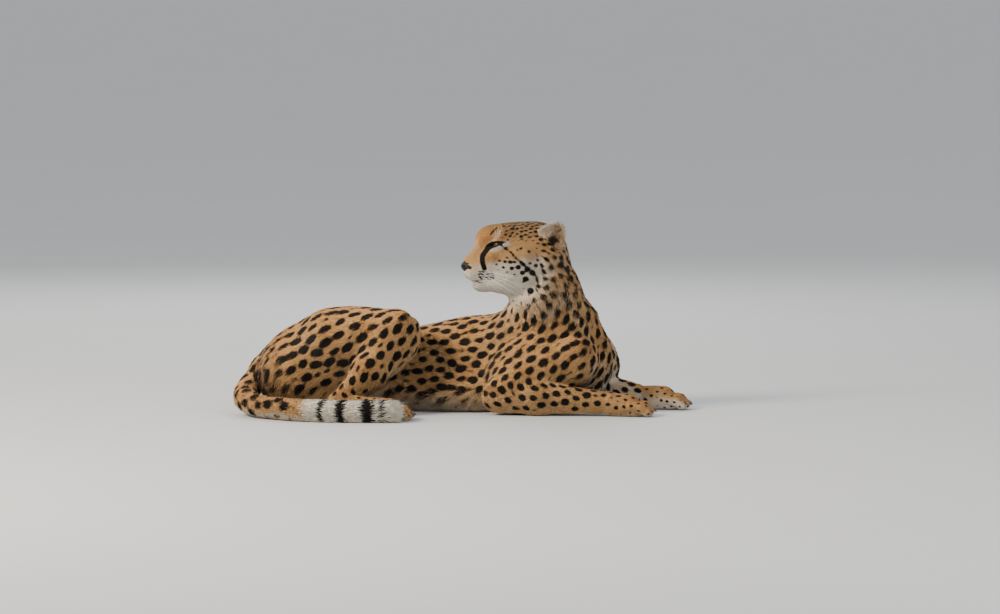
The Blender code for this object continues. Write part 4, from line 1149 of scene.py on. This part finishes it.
def turn_about(way, q):
    """The turn of each point about a way through 0, as a share of a whole turn that begins straight below."""
    side = unit(np.cross(way, vec(0, 0, 1)))
    above = np.cross(side, way)
    return np.arctan2(dots(q, side), dots(q, above)) / (2 * math.pi) + 0.5


def in_group(name, p, part):
    """True for the locks of this piece of the coat."""
    parts, side, _, _ = GROUPS[name]
    mine = np.isin(part, parts)
    if side:
        across = in_head(p)[:, 1] if "ear" in parts else p[:, 1] - TRUNK_MIDDLE
        mine &= (across > 0) == (side == "left")
    return mine


def map_places(name, p, share_tail):
    """Where each lock stands on its piece's map: how far along the piece's axis or the tail's route, and the
    turn about it, both spread over the map. The hind feet share one map, the right one on its lower half."""
    _, _, a, b = GROUPS[name]
    if name == "coat_tail":
        way, middle = along_tail(share_tail, TAIL_WAY), along_tail(share_tail, TAIL_LINE)
        along, turn = share_tail, turn_about(way, p - middle)
    else:
        axis = unit(b - a)
        along, turn = (p - a) @ axis / lengths(b - a), turn_about(axis, p - a)
    if name == "coat_hind_feet":
        turn = (turn + (p[:, 1] > 0)) / 2
    return np.stack([0.01 + 0.98 * (x - x.min()) / np.ptp(x) for x in (along, turn)], axis=1)


RIDGE = 0.40            # how far along a lock its ridge point stands
LOCK_ALONG = vec(0, 0, RIDGE, 1)
LOCK_FACES = np.array([(0, 1, 2), (1, 0, 3), (2, 1, 3), (0, 2, 3)])
LOCK_PATCH = PATCH / 2 * np.array([(-1, -1), (1, -1), (0, -0.4), (0, 1)])


def lock_mesh(root, normal, way, length, width, lift):
    """Closed spikes of four faces that leave the skin low and lie along it.

    Their points are two at the sides of the root, one on the ridge, which is at root + way * length * RIDGE
    and raised by the lift and the lock's thickness, and the tip.
    """
    side = np.cross(normal, way) * (width / 2)[:, None]
    low = root - normal * (0.12 * lift + 0.0003)[:, None]
    crest = lift * math.sin(RIDGE * math.pi / 2) + 0.40 * width
    ridge = root + way * (RIDGE * length)[:, None] + normal * crest[:, None]
    tip = root + way * length[:, None] + normal * lift[:, None]
    points = np.stack([low - side, low + side, ridge, tip], axis=1)
    triangles = (np.arange(len(root)) * 4)[:, None, None] + LOCK_FACES[None]
    points = points.reshape(-1, 3)
    points[:, 2] = np.maximum(points[:, 2], 0.0004)
    return points, triangles.reshape(-1, 3)


def shagginess(p, normal, shares, share_tail, kind):
    """0 where the coat is short, 1 where it hangs in a fringe: the belly, the back of the thighs, the throat
    and the tail's tip."""
    trunk, thigh = share_of(shares, "trunk"), share_of(shares, "thigh")
    belly = trunk * smoothstep(0.10, 0.05, p[:, 2]) * smoothstep(0.35, -0.25, normal[:, 2])
    rear = thigh * smoothstep(-0.34, -0.40, p[:, 0])
    low_thigh = thigh * smoothstep(0.09, 0.04, p[:, 2])
    q = in_head(p)
    ruff = smoothstep(5.0, 1.0, q[:, 0]) * smoothstep(-1.0, -4.0, q[:, 2]) * (kind == "head")
    tip = shares[:, -1] * smoothstep(0.85, 1.0, share_tail)
    neck = share_of(shares, "neck")
    return np.clip(belly + 0.7 * rear + 0.9 * low_thigh + 0.25 * neck + 0.6 * ruff + 0.8 * tip, 0, 1)


def coat_measures(skin):
    """The coat table's measures at each point of the skin, blended by the parts' shares there."""
    kinds = sorted(COATS)
    says = np.stack([
        skin.shares[:, [kind_of(part) == kind for part in part_names()]].sum(axis=1) for kind in kinds
    ], axis=1)
    says[skin.ear[:, 0] > 0] = [kind == "ear" for kind in kinds]
    return Coat(*(says @ np.array([getattr(COATS[kind], name) for kind in kinds]) for name in Coat._fields))


def growth(skin):
    """1 where the coat grows: not in the eyes' openings, on the nose leather, in the mouth's line or on the
    flats under the animal, nor on the ears' roots inside the head, and thinly in the hollow of the ears."""
    q = mirrored_head(skin.points)
    eye = in_eye(q, 1)
    bald = (lengths(eye) < EYE_RADIUS + 0.6) & (eye[:, 0] > 0) & (almond(eye[:, 1], eye[:, 2]) < 0.16)
    bald |= (lump(q, NOSE, NOSE_RADII) <= 0.04) | (line_distance(q, MOUTH) <= 0.16)
    bald |= (skin.points[:, 2] < 0.003) & (skin.normals[:, 2] < -0.7)
    is_ear, inside, r, angle = skin.ear.T
    bald |= (is_ear > 0) & (whole_body(skin.points.astype(np.float32))[0] < -0.004)
    hollow = (inside > 0.5) & (np.hypot(r * np.cos(angle), r * np.sin(angle) + 0.25) < 0.35)
    return np.where(bald, 0, np.where(hollow, 0.35, 1))


def build_coat(skin, spots, look):
    """The locks of every part, as one piece for each group."""
    measures = coat_measures(skin)
    bare = bareness(skin.points)
    closer = np.where(skin.kind == "head", 1 / np.clip(0.45 + 0.55 * bare, 0.3, 1), 1)
    count = measures.count * 1e4 * growth(skin) * closer
    corners, weights = sown(skin.points, skin.triangles, count)

    # the roots of the locks, and what the skin says there
    p, normal, lie, shares, share_tail, ear, bare, length, width, depth = (
        blend_at(corners, weights, values) for values in (
            skin.points, skin.normals, skin.lie, skin.shares, skin.share_tail, skin.ear, bare,
            measures.length, measures.width, measures.depth))
    normal = unit(normal)
    kind = skin.kind[corners[np.arange(len(p)), weights.argmax(axis=1)]]
    is_ear = ear[:, 0] > 0.5
    part = np.array(part_names())[shares.argmax(axis=1)]
    part[is_ear] = "ear"

    # their sizes: shorter on the face, longer in the fringes and round the ears' rims
    shaggy = shagginess(p, normal, shares, share_tail, kind)
    fringe = is_ear & (ear[:, 1] > 0.3) & (ear[:, 2] > 0.6)
    some = RANDOM.normal(size=(3, len(p)))
    small = np.where(kind == "head", bare, 1)
    length = length * small * (1 + shaggy) * np.clip(1 + 0.16 * some[0], 0.6, 1.5) * np.where(fringe, 1.9, 1)
    width = width * (0.6 + 0.4 * small) * (1 + 0.25 * shaggy) * np.clip(1 + 0.12 * some[1], 0.7, 1.4)
    lift = depth * small * np.clip(0.80 + 0.16 * some[2], 0.4, 1.15) * (1 + 0.45 * shaggy)
    lift = np.where(is_ear, 0.0016 + 0.002 * fringe, lift)

    # the way they lie: the fringes droop, and all of them waver a little
    way = lie + (0.7 * shaggy * (shares[:, -1] < 0.5))[:, None] * DOWN
    way = unit(way - dots(way, normal)[:, None] * normal)
    swirl = 0.22 * ripple(p, 0.05, 41) + 0.10 * ripple(p, 0.014, 42)
    swirl = swirl + RANDOM.normal(0, 0.11, len(p)) * (1 + shaggy)
    way = np.cos(swirl)[:, None] * way + np.sin(swirl)[:, None] * np.cross(normal, way)

    # their paint: each lock's ridge and tip carry the markings of where they reach to
    shade = np.clip(0.5 + 0.22 * RANDOM.normal(size=len(p)) + 0.10 * ripple(p, 0.02, 43), 0, 1)
    dark, pale, warm = coat_paint(p, normal, shares, share_tail, spots)
    reached = [p + way * (share * length)[:, None] for share in (RIDGE, 1)]
    ridge_dark, tip_dark = (marking_depth(at, normal, shares, share_tail, spots)[0] for at in reached)
    for whole, own in zip((dark, pale, warm), ear_paint(ear, p)):
        whole[is_ear] = own[is_ear]
    for whole in (ridge_dark, tip_dark):
        whole[is_ear] = dark[is_ear]
    # the crown's least darkness on the locks: dark hairs, and partly painted shade
    crown_grey_and_shade = crown_grizzle_and_shade(p, shares)
    darks = np.stack([dark, dark, np.maximum(ridge_dark, crown_grey_and_shade), np.maximum(tip_dark, crown_grey_and_shade)], axis=1)

    pieces = []
    paint = dict(pale=pale, warm=warm, shade=shade)
    for name in GROUPS:
        mine = in_group(name, p, part)
        locks = lock_mesh(p[mine], normal[mine], way[mine], length[mine], width[mine], lift[mine])
        values = {key: np.repeat(value[mine], 4) for key, value in paint.items()}
        values["dark"] = darks[mine].ravel()
        values["along"] = np.tile(LOCK_ALONG, mine.sum())
        uv = map_places(name, p[mine], share_tail[mine])[:, None, None] + LOCK_PATCH[LOCK_FACES][None]
        piece = new_piece(name, *locks, values, uv)
        piece.data.materials.append(look)
        pieces.append(piece)
        print(name, mine.sum(), "locks", len(locks[1]), "triangles")
    return pieces


# ------------------------------------------------------------ eyes, nose, lips, whiskers and claws

IRIS_EDGE = 0.62        # angle between the gaze and the iris's edge


def ball_grid(rows, spokes):
    """Two angles of each place on a ball: away from its front, and the turn about that."""
    away = np.linspace(0.01, math.pi - 0.01, rows)[:, None]
    turn = (np.arange(spokes) * 2 * math.pi / spokes)[None, :]
    return np.broadcast_arrays(away, turn)


def on_ball(away, turn):
    """Ahead, across and above on a ball of radius 1."""
    return np.cos(away), np.sin(away) * np.cos(turn), np.sin(away) * np.sin(turn)


def eyeball(side):
    """A ball with a low dome over the iris: at angle a from the gaze its radius grows by a share of
    0.045 exp(-(a / 0.45)^4).

    Its values are the place's distance from the gaze (0 at the pupil's middle, 1 at the iris's edge) and its
    turn.
    """
    away, turn = ball_grid(40, 48)
    radius = EYE_RADIUS * (1 + 0.045 * np.exp(-(away / 0.45) ** 4))
    local = radius[..., None] * np.stack(on_ball(away, turn), axis=-1)
    points, triangles = tube(from_eye(local, side), flip=side > 0)
    out = np.append((away / IRIS_EDGE).ravel(), [0, math.pi / IRIS_EDGE])
    turn = np.append(np.abs(turn - math.pi).ravel(), [math.pi, math.pi])
    return points, triangles, dict(out=out, turn=turn)


def lid_rim(side):
    """A soft black rim round the eye's opening: an upright oval carried round the almond, on the eyeball."""
    long, high, low = OPENING
    r_high, r_low = opening_circles()
    t = np.linspace(0, 2 * math.pi, 96, endpoint=False)
    x = long * np.cos(t)
    upper = np.sqrt(np.maximum(r_high ** 2 - x ** 2, 0)) - r_high + high
    lower = r_low - low - np.sqrt(np.maximum(r_low ** 2 - x ** 2, 0))
    is_upper = t < math.pi
    y = np.where(is_upper, upper, lower)
    depth = np.sqrt(np.maximum((EYE_RADIUS + 0.06) ** 2 - np.minimum(x ** 2 + y ** 2, 2.1), 0.02))
    path = np.stack([depth, x, y], axis=1)
    rise = np.where(is_upper, 1, -1) * (0.25 + np.abs(np.sin(t)))
    outward = unit(np.stack([0 * x, x / long ** 2, rise], axis=1))
    thick = np.where(is_upper, 0.15 + 0.05 * np.sin(t), 0.12)[:, None]
    turn = (np.arange(10) * 2 * math.pi / 10)[:, None]
    oval = np.cos(turn) * unit(path)[:, None] + np.sin(turn) * outward[:, None]
    rings = (path + 0.6 * thick * outward)[:, None] + thick[:, None] * oval
    return tube(from_eye(rings, side), flip=side < 0, loop=True)


def nose_leather():
    """A ball pressed to a nose: its width narrows below, a groove runs down its middle and a comma-shaped
    nostril sinks into each side."""
    ahead, across, above = on_ball(*ball_grid(72, 96))
    across = across * (1 - 0.30 * smoothstep(0.1, -0.9, above) + 0.06 * smoothstep(0.0, 0.8, above))
    aside = np.abs(across)
    groove = 0.10 * np.exp(-(across / 0.10) ** 2) * smoothstep(0.35, -0.3, above)
    hole = np.hypot((aside - 0.52) / 0.24, (above + 0.02 - 0.35 * (aside - 0.5)) / 0.26)
    slit = np.hypot((aside - 0.80) / 0.28, (above + 0.28) / 0.13)
    pit = 0.34 * smoothstep(1.0, 0.35, hole) + 0.22 * smoothstep(1.0, 0.3, slit)
    wing = 0.05 * np.exp(-((np.hypot((aside - 0.55) / 0.42, above / 0.45) - 1) / 0.25) ** 2)
    shrink = 1 - (groove + pit - wing) * smoothstep(-0.2, 0.35, ahead)
    less = 0.6 + 0.4 * shrink
    local = np.stack([ahead * shrink, across * less, above * less], axis=-1) * vec(*NOSE_RADII)
    return tube(from_head(vec(*NOSE) + local), flip=True)


def on_skin(points, out=0.0):
    """Points moved onto the skin and out from it."""
    points = projected(skin_field, np.array(points, np.float64), 4)
    return points + unit(slope_at(skin_field, points)) * out


def lip_line():
    """A dark cord laid in the mouth's line, thinning to the corners."""
    left = spline(MOUTH, 40)
    path = on_skin(from_head(np.vstack([left[::-1] * vec(1, -1, 1), left[1:]])), 0.0001)
    share = np.linspace(-1, 1, len(path))
    return tube(along_path(path, 0.0011 * (1 - 0.55 * np.abs(share) ** 3)), flip=True)


def whisker(root, aim, bend, reach, thick):
    """A hair from a place of the head along aim, bending the further it goes and thinning to nothing."""
    t = np.linspace(-0.05, 1, 12)[:, None]
    curve = reach * (t * unit(aim) + 0.45 * t * np.abs(t) * bend)
    path = on_skin([from_head(root)])[0] + curve @ HEAD_AXES.T
    return tube(along_path(path, thick * (1 - 0.93 * np.clip(t[:, 0], 0, 1)), 5), flip=True)


def whiskers():
    """Four rows on each pad and a few over each eye: thin hairs that leave the skin and bend back."""
    shapes = []
    for side in BOTH:
        for row, line in enumerate(WHISKER_ROWS):
            for k, t in enumerate(np.linspace(0.12, 0.95, 4)):
                root = sided(spline(line, 30)[int(t * 29)], side)
                reach = (0.045 + 0.010 * k - 0.004 * abs(row - 1.5)) * RANDOM.uniform(0.85, 1.15)
                drop = -0.05 - 0.16 * row + RANDOM.normal(0, 0.06)
                aim = sided((-0.35 - 0.12 * k, 0.95 - 0.06 * k, drop), side)
                shapes.append(whisker(root, aim, sided((-0.55, -0.12, -0.35), side), reach, 0.00042))
        for k in range(3):
            root = sided((9.3 - 0.35 * k, 3.3 + 0.25 * k, 4.0 + 0.1 * k), side)
            aim = sided((0.45 - 0.2 * k, 0.5, 0.9), side)
            shapes.append(whisker(root, aim, sided((-0.6, 0.2, -0.1), side), 0.030, 0.00028))
    return joined(shapes)


def claws():
    """One at each toe's tip, a cone bent down to near the floor."""
    shapes = []
    for at, yaw, size in PAWS.values():
        axes = turned(yaw)
        for place in TOES:
            tip = vec(*toe_points(place)[2])
            t = np.linspace(0, 1, 9)
            forward, down = 0.0065 + 0.0085 * np.sin(t * 1.35), 0.0035 - 0.0085 * (1 - np.cos(t * 1.35))
            fan = 0.06 * place
            local = np.stack([tip[0] + forward, tip[1] + forward * fan, tip[2] + down], axis=1) * size
            path = vec(*at) + local @ axes.T
            path[:, 2] = np.maximum(path[:, 2], 0.0016)
            radius = 0.0023 * size * (1 - 0.88 * t ** 1.6)
            shapes.append(tube(along_path(path, radius, 10, axes[:, 1]), flip=True))
    return joined(shapes)


# ------------------------------------------------------------ shader writing

class Socket:
    """A value on its way through a shader: arithmetic on it adds Math nodes."""

    def __init__(self, look, link):
        self.look, self.link = look, link

    def maths(self, operation, *values):
        return self.look.node("ShaderNodeMath", dict(operation=operation), values)

    def __add__(self, other):
        return self.maths("ADD", self, other)

    def __rsub__(self, other):
        return self.maths("SUBTRACT", other, self)

    def __mul__(self, other):
        return self.maths("MULTIPLY", self, other)

    __radd__, __rmul__ = __add__, __mul__

    def step(self, low, high):
        """This value eased from 0 at low to 1 at high."""
        values = {"Value": self, "From Min": low, "From Max": high, "To Min": 0.0, "To Max": 1.0}
        return self.look.node("ShaderNodeMapRange", dict(interpolation_type="SMOOTHSTEP"), values)


class Look:
    """One material. node() adds any node, and paint() sets the surface's own sockets."""

    def __init__(self, name):
        self.material = bpy.data.materials.new(name)
        self.material.use_nodes = True
        self.tree = self.material.node_tree
        self.surface = self.tree.nodes["Principled BSDF"]

    def give(self, socket, value):
        if isinstance(value, Socket):
            self.tree.links.new(value.link, socket)
        elif socket.type == "RGBA":
            socket.default_value = (*value, 1)
        else:
            socket.default_value = value

    def node(self, kind, settings=None, values=(), output=0):
        made = self.tree.nodes.new(kind)
        for name, value in (settings or {}).items():
            setattr(made, name, value)
        for place, value in values.items() if isinstance(values, dict) else enumerate(values):
            self.give(made.inputs[place], value)
        return Socket(self, made.outputs[output])

    def value(self, name):
        """A point attribute of the piece."""
        return self.node("ShaderNodeAttribute", dict(attribute_name=name), output=2)

    def mix(self, a, b, share):
        """Colour a, and b where share is 1."""
        return self.node("ShaderNodeMix", dict(data_type="RGBA"), {0: share, 6: a, 7: b}, output=2)

    def scaled(self, colour, by):
        """A colour made lighter or darker by a value."""
        return self.node("ShaderNodeVectorMath", dict(operation="SCALE"), {0: colour, 3: by})

    def place(self):
        return self.node("ShaderNodeTexCoord", output=3)

    def noise(self, scale, detail, place=None):
        values = {"Vector": place or self.place(), "Scale": scale, "Detail": detail, "Roughness": 0.55}
        return self.node("ShaderNodeTexNoise", None, values)

    def stretched(self, scale):
        """Object coordinates stretched by a scale on each axis."""
        return self.node("ShaderNodeMapping", None, {"Vector": self.place(), "Scale": scale})

    def bump(self, height, strength, distance):
        values = {"Height": height, "Strength": strength, "Distance": distance}
        return self.node("ShaderNodeBump", None, values)

    def paint(self, **sockets):
        """Sets sockets of the surface by name, with _ for a space."""
        for name, value in sockets.items():
            self.give(self.surface.inputs[name.replace("_", " ")], value)
        return self.material


TAWNY = (0.590, 0.350, 0.150)
GOLDEN = (0.510, 0.250, 0.080)
PALE = (0.830, 0.740, 0.600)
SPOT = (0.0095, 0.0060, 0.0045)
PAD = (0.030, 0.022, 0.020)


def coat_colour(look, dark, pale, warm):
    """The coat's own colour: tawny to golden, fading to cream, with near-black markings."""
    ground = look.mix(TAWNY, GOLDEN, warm.step(0.25, 0.95))
    ground = look.mix(ground, PALE, pale)
    return look.mix(ground, SPOT, dark.step(0.30, 0.70))


def coat_look():
    look = Look("coat")
    dark, pale, warm, shade, along = (look.value(name) for name in ("dark", "pale", "warm", "shade", "along"))
    fine = look.noise(900, 1.0)
    colour = coat_colour(look, dark, pale, warm)
    # random tone per lock and fine noise, and the roots darker than the tips as painted shade among the locks
    tone_and_root_shade = (0.72 + 0.34 * shade) * (0.80 + 0.34 * along) * (0.92 + 0.16 * fine)
    return look.paint(
        Base_Color=look.scaled(colour, tone_and_root_shade),
        Roughness=0.60 + 0.14 * fine,
        Specular_IOR_Level=0.18,
        Sheen_Weight=0.05,
        Sheen_Roughness=0.45,
    )


def skin_look():
    """What shows between the locks: the coat's own markings over short underfur."""
    look = Look("skin")
    dark, pale, warm, pad = (look.value(name) for name in ("dark", "pale", "warm", "pad"))
    hair = look.noise(1.0, 3.0, look.stretched((260.0, 900.0, 900.0)))
    colour = look.scaled(coat_colour(look, dark, pale, warm), 0.62 + 0.40 * hair)
    return look.paint(
        Base_Color=look.mix(colour, PAD, pad.step(0.4, 0.6)),
        Roughness=0.78 - 0.18 * hair,
        Specular_IOR_Level=0.28,
        Normal=look.bump(hair, 0.35, 0.0012),
    )


def eye_look():
    """Amber iris with darker rays and edge, round pupil, brown white of the eye."""
    look = Look("eye")
    out, turn = look.value("out"), look.value("turn")
    rays = look.noise(9.0, 4.0, look.node("ShaderNodeCombineXYZ", None, (turn * 3.0, out * 0.7, 0.0)))
    iris = look.mix((0.10, 0.038, 0.008), (0.27, 0.125, 0.022), rays.step(0.35, 0.70))
    iris = look.mix(iris, (0.06, 0.022, 0.006), out.step(0.72, 0.98))
    ball = look.mix(iris, (0.10, 0.065, 0.048), out.step(0.98, 1.06))
    colour = look.mix((0.004, 0.003, 0.003), ball, out.step(0.40, 0.44))
    return look.paint(Base_Color=colour, Roughness=0.16 + 0.10 * rays, Coat_Weight=0.6, Coat_Roughness=0.03)


def leather_look(name, colour, light, roughness, scale=1500):
    """Damp dark leather with fine pebbles."""
    look = Look(name)
    values = {"Vector": look.place(), "Scale": scale, "Randomness": 1.0}
    pebbles = look.node("ShaderNodeTexVoronoi", dict(feature="F1"), values)
    cloud = look.noise(180, 3.0)
    return look.paint(
        Base_Color=look.mix(colour, light, cloud.step(0.35, 0.75)),
        Roughness=roughness + 0.16 * cloud,
        Specular_IOR_Level=0.35,
        Normal=look.bump(pebbles, 0.5, 0.0004),
    )


def horn_look():
    look = Look("claw")
    grain = look.noise(1.0, 3.0, look.stretched((300.0, 1400.0, 1400.0)))
    colour = look.mix((0.045, 0.032, 0.025), (0.16, 0.12, 0.09), grain.step(0.4, 0.8))
    return look.paint(Base_Color=colour, Roughness=0.28 + 0.2 * grain, Normal=look.bump(grain, 0.25, 0.0003))


def whisker_look():
    look = Look("whisker")
    cloud = look.noise(260, 2.0)
    colour = look.mix((0.80, 0.77, 0.70), (0.93, 0.92, 0.88), cloud)
    return look.paint(Base_Color=colour, Roughness=0.28 + 0.12 * cloud)


def floor_look():
    look = Look("floor")
    cloud = look.noise(1.6, 4.0)
    colour = look.mix((0.60, 0.595, 0.58), (0.64, 0.635, 0.62), cloud)
    return look.paint(Base_Color=colour, Roughness=0.82 + 0.08 * cloud)


# ------------------------------------------------------------ putting it together

def finish(piece, look, stands_for=()):
    if look:
        piece.data.materials.append(look)
    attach(piece, "root")
    if stands_for:
        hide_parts(*stands_for)
    return piece


def pad_share(p):
    """1 inside the soles' pads, on the flat of each paw: an oval under the palm and one under each toe."""
    tips = [toe_points(place)[2] for place in TOES]
    ovals = [(-0.024, 0, 0.015, 0.019)] + [(tip[0] - 0.001, tip[1], 0.0095, 0.0068) for tip in tips]
    deep = np.full(len(p), -1.0)
    for at, yaw, size in PAWS.values():
        q = (p - vec(*at)) @ turned(yaw) / size
        for x, y, long, wide in ovals:
            deep = np.maximum(deep, 1 - np.hypot((q[:, 0] - x) / long, (q[:, 1] - y) / wide))
    return np.clip(0.5 + 2.5 * deep, 0, 1) * (p[:, 2] < 0.0035)


def build_animal():
    skin = build_skin()
    spots = spot_layout(skin)
    dark, pale, warm = coat_paint(skin.points, skin.normals, skin.shares, skin.share_tail, spots)
    on_ear = skin.ear[:, 0] > 0
    for whole, own in zip((dark, pale, warm), ear_paint(skin.ear, skin.points)):
        whole[on_ear] = own[on_ear]
    values = dict(dark=dark, pale=pale, warm=warm, pad=pad_share(skin.points))
    print("skin", len(skin.triangles), "triangles,", len(spots.at), "spots")
    flesh = [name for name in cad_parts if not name.startswith("eye") and name != "nose"]
    finish(new_piece("skin", skin.points, skin.triangles, values), skin_look(), flesh)
    for piece in build_coat(skin, spots, coat_look()):
        finish(piece, None)

    rim = leather_look("lid_rim", (0.010, 0.008, 0.007), (0.022, 0.017, 0.014), 0.34)
    eye = eye_look()
    for side, name in ((1, "left"), (-1, "right")):
        finish(new_piece("eyeball_" + name, *eyeball(side)), eye, ["eye_" + name])
        finish(new_piece("lid_rim_" + name, *lid_rim(side)), rim)
    nose = leather_look("nose_leather", (0.007, 0.006, 0.005), (0.016, 0.013, 0.012), 0.46, 2200)
    finish(new_piece("nose_leather", *nose_leather()), nose, ["nose"])
    finish(new_piece("lips", *lip_line()), rim)
    finish(new_piece("whiskers", *whiskers()), whisker_look())
    finish(new_piece("claws", *claws()), horn_look())


def area_light(name, place, target, size, power, colour=(1, 1, 1)):
    light = bpy.data.lights.new(name, "AREA")
    light.energy, light.size, light.color = power, size, colour
    obj = bpy.data.objects.new(name, light)
    bpy.context.scene.collection.objects.link(obj)
    obj.location = place
    obj.rotation_euler = Vector(vec(*place) - vec(*target)).to_track_quat("Z", "Y").to_euler()


FLOOR_REACH = 120.0     # metres from the middle of the floor to its edges


def build_studio():
    corners = FLOOR_REACH * np.array([(-1, -1, 0), (1, -1, 0), (1, 1, 0), (-1, 1, 0)])
    floor = new_piece("floor", corners, np.array([(0, 1, 2), (0, 2, 3)]))
    floor.data.materials.append(floor_look())
    world = bpy.data.worlds.new("studio")
    bpy.context.scene.world = world
    world.use_nodes = True
    sky = world.node_tree.nodes["Background"].inputs
    sky["Color"].default_value = (0.90, 0.95, 1.0, 1)
    sky["Strength"].default_value = 0.72
    area_light("key", (-3.2, -2.6, 2.6), (0, 0, 0.2), 1.4, 300, (1.0, 0.91, 0.79))
    area_light("fill", (2.6, -3.6, 2.0), (0, 0, 0.2), 3.0, 60, (0.92, 0.96, 1.0))
    area_light("back", (-0.5, 3.6, 2.6), (0, 0, 0.25), 2.4, 70)


CAMERA_DISTANCE, CAMERA_RISE = 12.22, math.radians(4)
CAMERA_AIM = (0.088, 0.0, 0.2294)


def build_camera():
    camera = bpy.data.cameras.new("camera")
    camera.lens, camera.sensor_width = 200, 36
    camera.clip_end = 500
    obj = bpy.data.objects.new("camera", camera)
    bpy.context.scene.collection.objects.link(obj)
    away = vec(0, -math.cos(CAMERA_RISE), math.sin(CAMERA_RISE))
    obj.location = vec(*CAMERA_AIM) + away * CAMERA_DISTANCE
    obj.rotation_euler = (math.pi / 2 - CAMERA_RISE, 0, 0)
    bpy.context.scene.camera = obj


for add_masses in (trunk, right_hind_leg, left_hind_leg, right_foreleg, left_foreleg, neck, head, paws):
    add_masses()
build_animal()
build_studio()
build_camera()
